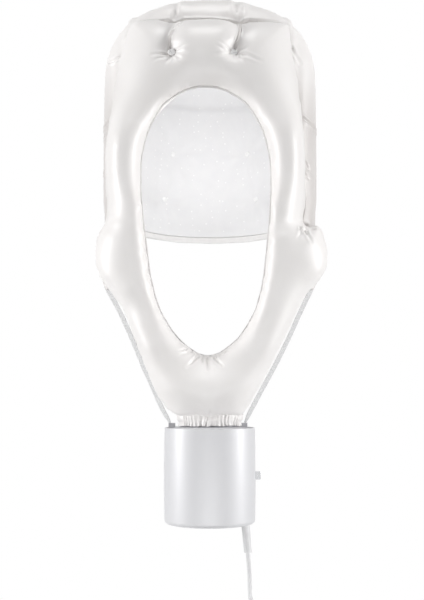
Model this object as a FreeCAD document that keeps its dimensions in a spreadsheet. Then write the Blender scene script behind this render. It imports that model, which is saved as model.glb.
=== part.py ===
import FreeCAD, Part
import math
import os
import re
import Sketcher
from FreeCAD import Placement, Rotation, Vector

# Soft bonnet hair dryer, worn on the head with its dryer unit hanging in front of the chest.
# Millimetres. X to the wearer's left, Y to the back, Z up, origin where the crown rests on the head.

doc = FreeCAD.newDocument("bonnet_dryer")

SIZES = {
    "axis_y": (-102, "dryer axis and middle of the front chamber, ahead of the head's middle"),
    # front chamber of the bonnet
    "front_thick": (60, "front chamber, front face to back face"),
    "front_top": (-22, "top seam of the front chamber"),
    "front_foot": (-511, "lowest point of the funnel"),
    "inlet_tall": (24, "air inlet in the funnel's foot"),
    "swell_out": (20, "how far the front face is drawn in from the outer seam"),
    "swell_in": (16, "how far the front face is drawn back from the face opening"),
    "swell_deep": (38, "depth of the outer swell"),
    "back_in": (5, "back face inside the outer seam"),
    "back_deep": (8, "depth of the slope to the back face"),
    "back_out": (12, "how far the back face is drawn back from the face opening"),
    "brow_half": (102, "half width of the top seam"),
    "brow_bend": (26, "rounding of the top corners"),
    "temple_half": (121, "half width beside the cheeks"),
    "temple_level": (-190, "level of that width"),
    "temple_bend": (200, "bend of the sides there"),
    "notch_half": (119.5, "half width at the crease above the side lobes"),
    "notch_level": (-284, "level of the crease"),
    "notch_bend": (10, "bend of the crease"),
    "shoulder_half": (143.5, "half width of the lobes under the cheeks"),
    "shoulder_level": (-296, "top of the lobes"),
    "shoulder_bend": (24, "rounding of the lobes"),
    "shoulder_foot": (-336, "where the funnel starts"),
    "waist_half": (92, "half width of the funnel below the chin"),
    "waist_level": (-406, "level of that width"),
    "waist_bend": (120, "bend of the funnel there"),
    "foot_half": (43, "half width of the funnel above the cuff"),
    "foot_bend": (24, "rounding of the funnel's foot"),
    "face_half": (79.4, "half width of the face opening"),
    "face_level": (-225, "level of the face opening's widest place"),
    "face_up": (119.4, "face opening above its widest place"),
    "face_down": (212, "face opening below its widest place"),
    "binding_wide": (2.4, "width of the edge binding"),
    "binding_deep": (5, "depth of the edge binding along the face opening"),
    # rear chamber
    "rear_half": (140, "half width of the side lobes"),
    "rear_top": (34, "top of the crown cushion"),
    "rear_foot": (-268, "lower edge at the nape"),
    "rear_crown_bend": (219, "radius of the crown across the head"),
    "rear_corner_bend": (97, "radius from crown to side"),
    "rear_middle_y": (5, "where the straight sides turn into the round back"),
    "rear_round": (34, "rounding towards the front chamber"),
    "rear_seam_left": (-43, "long seam over the crown, left of the middle"),
    "rear_seam_right": (33, "long seam right of the middle"),
    "rear_seam_round": (9, "rounding of the cushion along its long seams"),
    "head_half": (102, "half width of the head space"),
    "head_crown_bend": (185, "radius of the head space across the crown"),
    "head_corner_bend": (62, "radius of the head space from crown to side"),
    "lip_deep": (22, "front wall of the rear chamber round the face"),
    "lip_gap": (2, "how much wider the lip is than the face opening"),
    "liner_thick": (1, "perforated lining"),
    "hem_tall": (9, "hem band at the nape"),
    "hem_thick": (1.2, "hem band thickness"),
    # dryer housing
    "rim_level": (-522, "top rim of the dryer"),
    "body_tall": (111, "height of the dryer"),
    "body_wide": (54.1, "half width at the belly"),
    "body_deep": (48.6, "half depth at the belly"),
    "belly_drop": (50, "belly below the rim"),
    "rim_narrow": (0.6, "rim inside the belly"),
    "base_narrow": (0.9, "base inside the belly"),
    "base_round": (4.5, "rounding of the bottom edge"),
    "wall": (2.2, "housing wall"),
    "parting": (0.8, "parting line of the two shells behind the axis"),
    "fit": (0.15, "clearance between moulded parts that seat in each other"),
    "boss_radius": (3.6, "screw boss"),
    "boss_out": (44, "screw bosses beside the axis"),
    "boss_high": (11, "upper bosses below the rim"),
    "boss_low": (12, "lower boss above the bottom"),
    "screw_radius": (1.25, "housing screw"),
    "screw_long": (26, "housing screw length under its head"),
    "screw_head": (2.5, "housing screw head radius"),
    "screw_head_tall": (1.8, "housing screw head height"),
    "screw_sink": (14, "how deep the screw heads sit under the back"),
    # deck, collar and guard
    "deck_sink": (0.4, "deck below the rim"),
    "deck_thick": (2.4, "deck"),
    "ledge": (1.5, "ledge under the deck, its width and height"),
    "dome_half": (47, "half width of the dome that rises from the deck to the collar"),
    "dome_deep": (41, "half depth of that dome"),
    "dome_rise": (2.2, "rise of that dome"),
    "collar_half": (33, "half width of the collar"),
    "collar_deep": (23, "half depth of the collar"),
    "collar_wall": (2, "collar wall"),
    "collar_tall": (10.9, "collar above the deck"),
    "bead": (0.8, "bead round the collar's top"),
    "spigot_tall": (6, "ring under the deck that holds the duct"),
    "spigot_wall": (1.6, "wall of that ring"),
    "slot_near": (36.3, "strap slot, end next to the collar"),
    "slot_far": (49.3, "strap slot, end next to the rim"),
    "slot_play": (0.3, "strap end from the slot's end"),
    "slot_wide": (3.4, "strap slot width"),
    "guard_thick": (1.6, "outlet guard"),
    "guard_ledge": (1, "ledge that the guard lies on"),
    "guard_lap": (1.5, "width of that ledge"),
    "guard_bar": (1.4, "bar of the guard"),
    "guard_gap": (9, "bar spacing of the guard"),
    # duct and fan
    "duct_radius": (34, "outside of the air duct"),
    "duct_wall": (1.2, "duct wall"),
    "duct_top_gap": (3.7, "air gap between the duct's top and the deck"),
    "grille_flange": (1.5, "flange of the intake grille"),
    "grille_seat": (2, "how far the flange laps over the floor"),
    "grille_slot_near": (1.4, "width of the grille's slots near the middle"),
    "grille_slot_far": (3.8, "width of the slots near the edge"),
    "grille_edge": (2.5, "plain edge of the grille round its slots"),
    "grille_slots": (20, "number of slots"),
    "filter_tall": (2, "lint filter frame"),
    "filter_rim": (3, "rim width of the lint filter frame"),
    "filter_mesh": (0.4, "lint filter mesh"),
    "fan_radius": (31.4, "impeller tip"),
    "fan_hub": (10.5, "impeller hub radius"),
    "fan_tall": (14, "impeller hub height"),
    "hub_wall": (1.6, "wall of the impeller's hub"),
    "fan_rise": (9.3, "impeller above the lint filter"),
    "fan_blades": (9, "number of blades"),
    "fan_chord": (15, "blade length along its chord"),
    "fan_blade_thick": (1.3, "blade thickness"),
    "fan_root_pitch": (48, "blade angle at the hub"),
    "fan_tip_pitch": (28, "blade angle at the tip"),
    "shaft_radius": (1.15, "motor shaft"),
    "shaft_long": (50, "motor shaft length"),
    "shaft_play": (0.02, "running clearance in the bushes"),
    "mount_gap": (4, "motor mount above the impeller"),
    "mount_tall": (10, "ring of the motor mount"),
    "mount_vanes": (7, "stator vanes"),
    "mount_wall": (1.5, "walls of the motor mount"),
    "motor_radius": (13.8, "motor can"),
    "motor_tall": (29, "motor can height"),
    "can_wall": (1.2, "motor can wall"),
    "tag_thick": (0.6, "motor terminal tags"),
    "tag_wide": (2.6, "width of the tags"),
    "tag_tall": (3.4, "height of the tags over the end cap"),
    "bush_radius": (3, "bush outside"),
    "bush_tall": (4, "bush height"),
    "magnet_thick": (1.6, "magnet segments"),
    "air_gap": (0.6, "gap between magnets and armature"),
    "core_tall": (14, "armature core"),
    "core_rise": (7, "armature core above the can's floor"),
    "core_gap": (2.4, "gap between the armature's poles"),
    "core_gap_deep": (9, "depth of that gap"),
    "commutator_radius": (3.6, "commutator"),
    "commutator_tall": (4, "commutator height"),
    # heater
    "heater_rise": (6, "heater above the motor"),
    "heater_tall": (30, "heater former height"),
    "ear_tall": (3, "ears that seat the former in the sleeve"),
    "sensor_drop": (13, "thermostat below the former's top"),
    "mica": (0.8, "mica board"),
    "sleeve": (0.5, "mica sleeve in the duct"),
    "winding_radius": (28, "heater winding from the axis"),
    "winding_pitch": (3.6, "heater winding pitch"),
    "winding_turns": (6, "heater winding turns"),
    "wire_radius": (0.55, "heater wire"),
    "fuse_radius": (1.75, "thermal fuse"),
    # switch side
    "pocket_near": (40, "parts beside the duct start here"),
    "switch_deep": (9.4, "switch body away from the axis"),
    "switch_half": (5.5, "half width of switch, terminal and clamp"),
    "switch_tall": (35, "switch body height"),
    "rib": (2, "ribs that hold the inner parts"),
    "recess_top": (30, "switch recess below the rim"),
    "recess_tall": (31.5, "switch recess height"),
    "recess_half": (7, "switch recess half width"),
    "recess_deep": (1, "switch recess depth"),
    "knob_tall": (9.3, "switch knob height"),
    "knob_half": (5.2, "switch knob half width"),
    "knob_out": (5.8, "switch knob beyond the belly"),
    "knob_travel": (18, "travel of the knob"),
    "knob_rest_gap": (1.2, "knob above the foot of its recess at rest"),
    "knob_play": (0.3, "play round the knob's stem"),
    "stem": (3, "stem of the knob, height and width"),
    "terminal_tall": (12, "terminal block height"),
    "terminal_rise": (22, "terminal block above the bottom"),
    "clamp_rise": (11, "cord clamp above the bottom"),
    "clamp_tall": (5, "cord clamp height"),
    # electronics side
    "board_half": (14, "circuit board half width"),
    "board_tall": (51, "circuit board height"),
    "board_thick": (1.6, "circuit board"),
    "board_out": (45, "circuit board's inner face from the axis"),
    "board_rise": (19, "circuit board above the bottom"),
    "ion_tall": (18, "ion module height"),
    "ion_half": (10, "ion module half width"),
    "ion_deep": (9, "ion module away from the duct"),
    "needle_radius": (0.4, "ion needle"),
    "needle_bush": (1.7, "ion needle's bush"),
    "needle_long": (14, "ion needle into the air stream"),
    # cord
    "cord_out": (42, "cord gland beside the axis"),
    "cord_radius": (2.5, "mains cord"),
    "relief_radius": (5.1, "strain relief"),
    "relief_end": (4.4, "strain relief at its lower end"),
    "relief_long": (34, "strain relief length"),
    "relief_neck": (4.6, "strain relief in the housing's floor"),
    "relief_lean": (4.5, "strain relief's lean to the side, degrees"),
    "coil_mean": (28.5, "mean radius of the put away coil"),
    "coil_turns": (10, "turns of the put away coil"),
    "coil_rows": (5, "turns side by side"),
    "coil_below": (246, "middle of the put away coil below the rim"),
    "tail_drop": (27, "cord from the coil down to the plug"),
    "tie_turn": (-68, "tie round from the coil's top, degrees"),
    "tie_wide": (12, "cord tie"),
    "tie_thick": (1.5, "cord tie thickness"),
    "plug_long": (34, "plug body"),
    "plug_wide": (35, "plug body at its widest"),
    "plug_thick": (13.7, "plug body thickness"),
    "plug_relief": (16, "plug's own strain relief"),
    "pin_radius": (2, "plug pin"),
    "pin_long": (19, "plug pin length"),
    "pin_apart": (18.6, "between the plug pins"),
    # cuff and straps
    "cuff_gap": (0.4, "cuff round the collar"),
    "cuff_thick": (2, "gathered cuff"),
    "cuff_drop": (8.5, "cuff below the funnel"),
    "elastic_wide": (3, "elastic round the cuff"),
    "elastic_thick": (1, "elastic thickness"),
    "strap_wide": (10, "elastic strap"),
    "strap_thick": (1, "elastic strap thickness"),
    "tab_wide": (8, "moulded strap end"),
    "tab_thick": (2.4, "moulded strap end thickness"),
    "tab_long": (12.4, "moulded strap end length"),
    "tab_deep": (4, "strap end below the deck"),
    "anchor_size": (11, "stitched strap anchor"),
    "anchor_in": (13, "anchor inside the lobe's side"),
    "anchor_drop": (22, "anchor below the funnel's start"),
    "weld_radius": (4.5, "spot weld disc"),
    "weld_thick": (0.8, "spot weld disc thickness"),
    "weld_right": (30, "brow weld right of the middle"),
    "weld_left": (-46, "brow weld left of the middle"),
    "weld_level": (-69, "level of the brow welds"),
    "weld_high": (-140, "level of the upper welds in the lining"),
    "weld_high_turn": (32, "their turn from the back, degrees"),
    "weld_low": (-208, "level of the lower welds in the lining"),
    "weld_low_turn": (40, "their turn from the back, degrees"),
}

sheet = doc.addObject("Spreadsheet::Sheet", "sizes")
for row, (alias, (value, meaning)) in enumerate(SIZES.items(), start=1):
    sheet.set(f"A{row}", meaning)
    sheet.set(f"B{row}", str(value))
    sheet.setAlias(f"B{row}", alias)
doc.recompute()

# The swell of the front chamber is a quarter ellipse, taken at these shares of its depth.
SWELL_STEPS = (0, 0.45, 0.75, 0.93, 1)

# Levels that several pieces share, as formulas over the sheet.
FLOOR = "(rim_level - body_tall)"
FLOOR_TOP = f"({FLOOR} + wall)"
DECK_TOP = "(rim_level - deck_sink)"
DECK_FOOT = f"({DECK_TOP} - deck_thick)"
FILTER_FOOT = f"({FLOOR_TOP} + grille_flange)"
DUCT_FOOT = f"({FILTER_FOOT} + filter_tall)"
DUCT_TOP = f"({DECK_FOOT} - duct_top_gap)"
DUCT_BORE = "(duct_radius - duct_wall)"
FAN_FOOT = f"({DUCT_FOOT} + fan_rise)"
MOUNT_FOOT = f"({FAN_FOOT} + fan_tall + mount_gap)"
CAN_FOOT = f"({MOUNT_FOOT} + mount_wall)"
CAN_TOP = f"({CAN_FOOT} + motor_tall)"
CORE_FOOT = f"({CAN_FOOT} + core_rise)"
CORE_RADIUS = "(motor_radius - can_wall - magnet_thick - air_gap)"
HEATER_FOOT = f"({CAN_TOP} + heater_rise)"
RECESS_FOOT = "(rim_level - recess_top - recess_tall)"
KNOB_FOOT = f"({RECESS_FOOT} + knob_rest_gap)"
STEM_FOOT = f"({KNOB_FOOT} + (knob_tall - stem) / 2)"

pieces = {}


def size(alias):
    """A driving dimension as a number."""
    return float(sheet.get(alias))


def cells(formula):
    """The same formula with each alias as a reference to the sheet."""
    return re.sub(r"[a-z_]+", lambda word: f"sizes.{word[0]}" if word[0] in SIZES else word[0], formula)


def bind(thing, formulas):
    for name, formula in formulas.items():
        thing.setExpression(name, cells(formula))


def seat(thing, place):
    bind(thing, {f"Placement.Base.{letter}": formula for letter, formula in zip("xyz", place)})
    return thing


def cylinder(name, radius, tall, place, turn=None):
    thing = doc.addObject("Part::Cylinder", name)
    if turn is not None:
        thing.Placement = Placement(Vector(), turn)
    bind(thing, {"Radius": radius, "Height": tall})
    return seat(thing, place)


def block(name, wide, deep, tall, place):
    """A box, centred across and in depth on its place and standing on it."""
    thing = doc.addObject("Part::Box", name)
    bind(thing, {"Length": wide, "Width": deep, "Height": tall})
    left, front, low = place
    return seat(thing, (f"{left} - ({wide}) / 2", f"{front} - ({deep}) / 2", low))


def oval(name, wide, deep, tall, place):
    """An upright prism on an ellipse of these half widths."""
    outline = doc.addObject("Part::Ellipse", f"{name}_outline")
    bind(outline, {"MajorRadius": wide, "MinorRadius": deep})
    seat(outline, place)
    prism = doc.addObject("Part::Extrusion", name)
    prism.Base = outline
    prism.DirMode = "Custom"
    prism.Dir = Vector(0, 0, 1)
    prism.Solid = True
    bind(prism, {"LengthFwd": tall})
    return prism


def slope(name, foot, head):
    """A solid between two upright ellipses, each given by its half width, half depth and level."""
    sections = []
    for end, (wide, deep, level) in (("foot", foot), ("head", head)):
        ring = doc.addObject("Part::Ellipse", f"{name}_{end}")
        bind(ring, {"MajorRadius": wide, "MinorRadius": deep})
        sections.append(seat(ring, ("0", "axis_y", level)))
    loft = doc.addObject("Part::Loft", name)
    loft.Sections = sections
    loft.Solid = True
    loft.Ruled = True
    return loft


def fuse(name, *parts):
    thing = doc.addObject("Part::MultiFuse", name)
    thing.Shapes = list(parts)
    return thing


def common(name, *parts):
    thing = doc.addObject("Part::MultiCommon", name)
    thing.Shapes = list(parts)
    return thing


def cut(name, base, *tools):
    thing = doc.addObject("Part::Cut", name)
    thing.Base = base
    thing.Tool = tools[0] if len(tools) == 1 else fuse(f"{name}_tools", *tools)
    return thing


def rounded(name, base, radius, chosen):
    """A fillet on the edges that the given test picks; a radius may change along an edge."""
    doc.recompute()
    thing = doc.addObject("Part::Fillet", name)
    thing.Base = base
    edges = []
    for number, edge in enumerate(base.Shape.Edges, start=1):
        if chosen(edge):
            edges.append((number, radius, radius))
    thing.Edges = edges
    return thing


def shape(name, form, place=None):
    """A form that Part's own functions made, as an object of the document."""
    thing = doc.addObject("Part::Feature", name)
    thing.Shape = form
    if place is not None:
        thing.Placement = place
    return thing


def piece(node, thing):
    """Name a finished sub-part after its node."""
    thing.Label = node
    pieces[node] = thing
    return thing


def at_level(level):
    return lambda edge: abs(edge.BoundBox.ZMin - level) < 0.01 and abs(edge.BoundBox.ZMax - level) < 0.01


def plane_of(body, role):
    return [part for part in body.Origin.OriginFeatures if part.Role == role][0]


def sketch(body, name, role, corners, level="0"):
    """A closed outline in one of a body's own planes, each corner set by two sizes."""
    outline = body.newObject("Sketcher::SketchObject", name)
    outline.AttachmentSupport = [(plane_of(body, role), "")]
    outline.MapMode = "FlatFace"
    outline.setExpression("AttachmentOffset.Base.z", cells(level))
    count = len(corners)
    spots = [Vector(math.cos(turn), math.sin(turn), 0)
             for turn in (math.tau * index / count for index in range(count))]
    for index in range(count):
        outline.addGeometry(Part.LineSegment(spots[index], spots[(index + 1) % count]), False)
    for index in range(count):
        outline.addConstraint(Sketcher.Constraint("Coincident", index, 2, (index + 1) % count, 1))
    for index, corner in enumerate(corners):
        for kind, formula in zip(("DistanceX", "DistanceY"), corner):
            held = outline.addConstraint(Sketcher.Constraint(kind, -1, 1, index, 1, 1.0))
            outline.setExpression(f"Constraints[{held}]", cells(formula))
    return outline


def new_body(name):
    body = doc.addObject("PartDesign::Body", name)
    body.Placement = Placement(Vector(0, size("axis_y"), 0), Rotation())
    body.setExpression("Placement.Base.y", cells("axis_y"))
    return body


def revolved(body, name, profile):
    """A full turn of a profile in the XZ plane about the dryer's axis."""
    turn = body.newObject("PartDesign::Revolution", name)
    turn.Profile = profile
    turn.ReferenceAxis = (profile, ["V_Axis"])
    turn.Angle = 360
    return turn


def padded(body, name, outline, tall):
    pad = body.newObject("PartDesign::Pad", name)
    pad.Profile = outline
    pad.setExpression("Length", cells(tall))
    return pad


def repeated(body, name, feature, number):
    """Copies of a feature evenly round the dryer's axis."""
    doc.recompute()
    pattern = body.newObject("PartDesign::PolarPattern", name)
    pattern.Originals = [feature]
    pattern.Axis = (plane_of(body, "Z_Axis"), [""])
    pattern.Angle = 360
    pattern.setExpression("Occurrences", cells(number))
    body.Tip = pattern
    return pattern


def rounded_outline(corners):
    """A closed wire in the XZ plane through (x, z, radius) corners, straight between their arcs."""
    count = len(corners)
    spots = [Vector(x, 0, z) for x, z, radius in corners]
    edges = []
    joins = []
    for index in range(count):
        here = spots[index]
        back = (spots[index - 1] - here).normalize()
        ahead = (spots[(index + 1) % count] - here).normalize()
        half = back.getAngle(ahead) / 2
        radius = corners[index][2]
        reach = radius / math.tan(half)
        middle = here + (back + ahead).normalize() * (radius / math.sin(half) - radius)
        joins.append((here + back * reach, middle, here + ahead * reach))
    for index, (start, middle, end) in enumerate(joins):
        edges.append(Part.Arc(start, middle, end).toShape())
        edges.append(Part.LineSegment(end, joins[(index + 1) % count][0]).toShape())
    return Part.Wire(edges)


def face_egg(extra):
    """The face opening's outline, two half ellipses of one width, this much larger all round."""
    level = size("face_level")
    half = size("face_half") + extra
    edges = []
    for alias, first, last in (("face_up", 0, math.pi), ("face_down", math.pi, math.tau)):
        reach = size(alias) + extra
        tall = Part.Ellipse(Vector(0, 0, reach), Vector(half, 0, 0), Vector(0, 0, 0))
        arc = Part.ArcOfEllipse(tall, first - math.pi / 2, last - math.pi / 2)
        edges.append(arc.toShape().translated(Vector(0, 0, level)))
    return Part.Wire(Part.__sortEdges__(edges))


def slab(wire, front, thick):
    """A wire of the XZ plane made a solid, from the level front backwards."""
    solid = Part.Face(wire).extrude(Vector(0, thick, 0))
    solid.translate(Vector(0, front, 0))
    return solid


def crown_profile(half, top, crown_bend, corner_bend, foot):
    """Right half of the hood seen from the front: crown arc, corner arc and straight side."""
    crown_centre = Vector(0, 0, top - crown_bend)
    across = half - corner_bend
    corner_level = crown_centre.z + math.sqrt((crown_bend - corner_bend) ** 2 - across ** 2)
    corner_centre = Vector(across, 0, corner_level)
    lean = (corner_centre - crown_centre).normalize()
    meet = crown_centre + lean * crown_bend
    crown_angle = math.atan2(lean.x, lean.z)
    crown_middle = crown_centre + Vector(math.sin(crown_angle / 2), 0, math.cos(crown_angle / 2)) * crown_bend
    turn = (crown_angle + math.pi / 2) / 2
    corner_middle = corner_centre + Vector(math.sin(turn), 0, math.cos(turn)) * corner_bend
    return [
        Part.Arc(Vector(0, 0, top), crown_middle, meet).toShape(),
        Part.Arc(meet, corner_middle, Vector(half, 0, corner_level)).toShape(),
        Part.LineSegment(Vector(half, 0, corner_level), Vector(half, 0, foot)).toShape(),
    ]


def hood_form(half, top, crown_bend, corner_bend, foot, front):
    """The hood's form: straight from the front to the head's middle, then turned round the back."""
    middle_y = size("rear_middle_y")
    edges = crown_profile(half, top, crown_bend, corner_bend, foot)
    floor = Part.LineSegment(Vector(half, 0, foot), Vector(0, 0, foot)).toShape()
    spine = Part.LineSegment(Vector(0, 0, foot), Vector(0, 0, top)).toShape()
    side = Part.Face(Part.Wire(edges + [floor, spine]))
    back = side.revolve(Vector(0, 0, 0), Vector(0, 0, 1), 180)
    right = side.extrude(Vector(0, front - middle_y, 0))
    left = right.mirror(Vector(0, 0, 0), Vector(1, 0, 0))
    whole = back.fuse([right, left]).removeSplitter()
    whole.translate(Vector(0, middle_y, 0))
    return whole


def front_outline():
    """The front chamber from the front: brow, cheeks, side lobes and funnel, which runs on below its foot."""
    right = [(size(half), size(level), size(bend)) for half, level, bend in (
        ("brow_half", "front_top", "brow_bend"),
        ("temple_half", "temple_level", "temple_bend"),
        ("notch_half", "notch_level", "notch_bend"),
        ("shoulder_half", "shoulder_level", "shoulder_bend"),
        ("shoulder_half", "shoulder_foot", "shoulder_bend"),
        ("waist_half", "waist_level", "waist_bend"),
    )]
    slope_in = (size("waist_half") - size("foot_half")) / (size("waist_level") - size("front_foot"))
    below = size("swell_out")
    right.append((size("foot_half") - below * slope_in, size("front_foot") - below, size("foot_bend")))
    left = [(-x, z, radius) for x, z, radius in reversed(right)]
    return rounded_outline(right + left)


def swell(share):
    """How much of the swell is drawn in at this share of its depth."""
    return 1 - math.sqrt(1 - share ** 2)


def lofted(wires):
    return Part.makeLoft(wires, True, True)


def front_ring(front, back):
    """The inflated ring: its outline and the face opening both swell from their seams to the front face."""
    outline = front_outline()
    stations = [(back, -size("back_in")), (back - size("back_deep"), 0)]
    for share in SWELL_STEPS:
        stations.append((front + size("swell_deep") * (1 - share), -size("swell_out") * swell(share)))
    outer = []
    for depth, change in stations:
        wire = outline.makeOffset2D(change) if change else outline.copy()
        wire.translate(Vector(0, depth, 0))
        outer.append(wire)
    axis = size("axis_y")
    stations = []
    for share in reversed(SWELL_STEPS):
        stations.append((axis - (axis - front) * share, size("swell_in") * swell(share)))
    for share in SWELL_STEPS[1:]:
        stations.append((axis + (back - axis) * share, size("back_out") * swell(share)))
    opening = []
    for depth, change in stations:
        wire = face_egg(size("binding_wide") + change)
        wire.translate(Vector(0, depth, 0))
        opening.append(wire)
    reach = 2 * size("shoulder_half")
    below = Part.makeBox(reach, reach, reach, Vector(-reach / 2, -reach, size("front_foot") - reach))
    return lofted(outer).cut(lofted(opening)).cut(below)


def three_pillows(cushion, back):
    """The cushion parted at its long seams into three pillows, each rounded towards them."""
    reach = 4 * size("rear_half")
    seams = (size("rear_seam_left"), size("rear_seam_right"))
    whole = None
    for low, high in ((-reach / 2, seams[0]), seams, (seams[1], reach / 2)):
        zone = Part.makeBox(high - low, reach, reach, Vector(low, -reach / 2, size("rear_top") + 1 - reach))
        pillow = cushion.common(zone)
        along = []
        for edge in pillow.Edges:
            box = edge.BoundBox
            on_seam = any(abs(box.XMin - seam) < 0.01 and abs(box.XMax - seam) < 0.01 for seam in seams)
            if on_seam and box.ZMax > size("rear_foot") + 1 and box.YMax > back + 1:
                along.append(edge)
        pillow = pillow.makeFillet(size("rear_seam_round"), along)
        whole = pillow if whole is None else whole.fuse(pillow)
    return whole.removeSplitter()


def bonnet_chambers():
    """The two inflated chambers: the ring and funnel in front, and the cushion round the head."""
    front = size("axis_y") - size("front_thick") / 2
    back = front + size("front_thick")
    inlet = oval("front_inlet", "collar_half - collar_wall", "collar_deep - collar_wall", "inlet_tall + 1",
                 ("0", "axis_y", "front_foot - 1"))
    front_chamber = cut("front_chamber", shape("front_ring", front_ring(front, back)), inlet)
    piece("bonnet_front_chamber", front_chamber)

    outer = hood_form(size("rear_half"), size("rear_top"), size("rear_crown_bend"), size("rear_corner_bend"),
                      size("rear_foot"), back)
    above_foot = size("rear_foot") + 1
    front_edges = [edge for edge in outer.Edges
                   if edge.BoundBox.YMax < back + 0.01 and edge.BoundBox.ZMax > above_foot]
    cushion = three_pillows(outer.makeFillet(size("rear_round"), front_edges), back)
    lip = back + size("lip_deep")
    head = head_space("head_space", 0, lip)
    mouth_egg = face_egg(size("binding_wide") + size("back_out") + size("lip_gap"))
    mouth = shape("face_mouth", slab(mouth_egg, back - 1, size("lip_deep") + 2))
    piece("bonnet_rear_chamber", cut("rear_hollow", shape("rear_cushion", cushion), head, mouth))

    wall = size("liner_thick")
    lining = cut("liner", common("liner_blank", head_space("liner_outside", 0, lip), whole_above_hem()),
                 head_space("liner_inside", wall, lip - 1))
    piece("bonnet_liner", lining)
    return front_chamber


def head_space(name, inset, front):
    """The space for the head, this much smaller all round."""
    form = hood_form(size("head_half") - inset, -inset, size("head_crown_bend") - inset,
                     size("head_corner_bend") - inset, size("rear_foot") - 1, front)
    return shape(name, form)


def whole_above_hem():
    hem = size("rear_foot") + size("hem_tall")
    reach = 2 * size("rear_half")
    corner = Vector(-reach / 2, -reach / 2, hem)
    return shape("above_hem", Part.makeBox(reach, reach, size("rear_top") - hem, corner))


def bonnet_bindings():
    """The band round the face opening and the hem inside the nape's lower edge."""
    deep = size("binding_deep")
    middle = size("axis_y") - deep / 2
    band = slab(face_egg(size("binding_wide")), middle, deep).cut(slab(face_egg(0), middle - 1, deep + 2))
    piece("face_edge_binding", shape("face_band", band))

    lip = size("axis_y") + size("front_thick") / 2 + size("lip_deep")
    outside = head_space("hem_outside", 0, lip)
    inside = head_space("hem_inside", size("hem_thick"), lip - 1)
    foot = size("rear_foot")
    reach = 2 * size("rear_half")
    corner = Vector(-reach / 2, -reach / 2, foot)
    zone = shape("hem_zone", Part.makeBox(reach, reach, size("hem_tall"), corner))
    piece("hem_binding", cut("hem_band", common("hem_blank", outside, zone), inside))


def cuff(front_chamber):
    """The gathered cuff that grips the dryer's collar, with its elastic in a groove."""
    place = ("0", "axis_y", "front_foot - cuff_drop")
    inner = ("collar_half + bead + cuff_gap", "collar_deep + bead + cuff_gap")
    outer = (f"{inner[0]} + cuff_thick", f"{inner[1]} + cuff_thick")
    skirt = oval("cuff_outside", *outer, "cuff_drop + foot_half / 2", place)
    bore = oval("cuff_bore", *inner, "cuff_drop + foot_half / 2 + 2",
                ("0", "axis_y", "front_foot - cuff_drop - 1"))
    groove_place = ("0", "axis_y", "front_foot - cuff_drop / 2 - elastic_wide / 2")
    groove_outside = oval("elastic_outside", *outer, "elastic_wide", groove_place)
    groove_inside = oval("elastic_inside", f"{outer[0]} - elastic_thick", f"{outer[1]} - elastic_thick",
                         "elastic_wide", groove_place)
    band = cut("elastic_band", groove_outside, groove_inside)
    piece("cuff_elastic", band)
    piece("bonnet_cuff", cut("cuff", skirt, bore, band, front_chamber))


def ribbon(points, wide):
    """A closed wire of the XZ plane: a flat ribbon of this width along a few points."""
    sides = ([], [])
    for index, (x, z) in enumerate(points):
        before = points[max(index - 1, 0)]
        after = points[min(index + 1, len(points) - 1)]
        along = Vector(after[0] - before[0], 0, after[1] - before[1]).normalize()
        across = Vector(along.z, 0, -along.x) * (wide / 2)
        sides[0].append(Vector(x, 0, z) + across)
        sides[1].append(Vector(x, 0, z) - across)
    corners = sides[0] + sides[1][::-1]
    return Part.makePolygon(corners + corners[:1])


def straps(front_chamber):
    """Two elastic straps beside the funnel, each from a stitched anchor to a moulded end in its slot."""
    wide = size("strap_wide")
    thick = size("strap_thick")
    axis = size("axis_y")
    deck = size("rim_level") - size("deck_sink")
    tab_foot = deck - size("deck_thick") - size("tab_deep")
    tab_top = tab_foot + size("tab_long")
    flank = (size("shoulder_half") - size("anchor_in"), size("shoulder_foot") - size("anchor_drop"))
    tab_wide = size("tab_wide")
    in_slot = size("slot_play") + tab_wide / 2
    sides = {
        "right": (1, size("slot_near") + in_slot),
        "left": (-1, size("slot_far") - in_slot),
    }
    for name, (sign, tab_out) in sides.items():
        corner = (size("foot_half") + 3.5, size("front_foot") + 1.5)
        points = [(sign * flank[0], flank[1]), (sign * corner[0], corner[1]), (sign * tab_out, tab_top)]
        band = slab(ribbon(points, wide), axis - thick / 2, thick)
        tab = Part.makeBox(tab_wide, size("tab_thick"), size("tab_long"),
                           Vector(sign * tab_out - tab_wide / 2, axis - size("tab_thick") / 2, tab_foot))
        strap = shape(f"strap_{name}_band", band.cut(tab))
        piece(f"strap_{name}", cut(f"strap_{name}_fitted", strap, front_chamber))
        piece(f"strap_tab_{name}", shape(f"strap_{name}_end", tab))
        reach = size("anchor_size")
        patch = Part.makeBox(reach, reach, reach,
                             Vector(sign * flank[0] - reach / 2, axis - reach / 2, flank[1] - 2))
        anchor = shape(f"anchor_{name}_blank", patch.cut(band))
        piece(f"strap_anchor_{name}", cut(f"anchor_{name}_fitted", anchor, front_chamber))


def weld_discs():
    """Spot welds that draw the fabric in: two on the brow and four in the lining at the back."""
    brow_y = size("axis_y") - size("front_thick") / 2
    thick = size("weld_thick")
    radius = size("weld_radius")
    discs = [Part.makeCylinder(radius, thick, Vector(size(out), brow_y, size("weld_level")), Vector(0, -1, 0))
             for out in ("weld_left", "weld_right")]
    inner = size("head_half") - size("liner_thick")
    for level, turn in (("weld_high", "weld_high_turn"), ("weld_low", "weld_low_turn")):
        for sign in (1, -1):
            angle = math.radians(size(turn))
            way = Vector(sign * math.sin(angle), math.cos(angle), 0)
            spot = Vector(0, size("rear_middle_y"), size(level)) + way * (inner * math.cos(radius / inner))
            discs.append(Part.makeCylinder(radius, thick, spot, way * -1))
    piece("weld_discs", shape("welds", Part.makeCompound(discs)))


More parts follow.
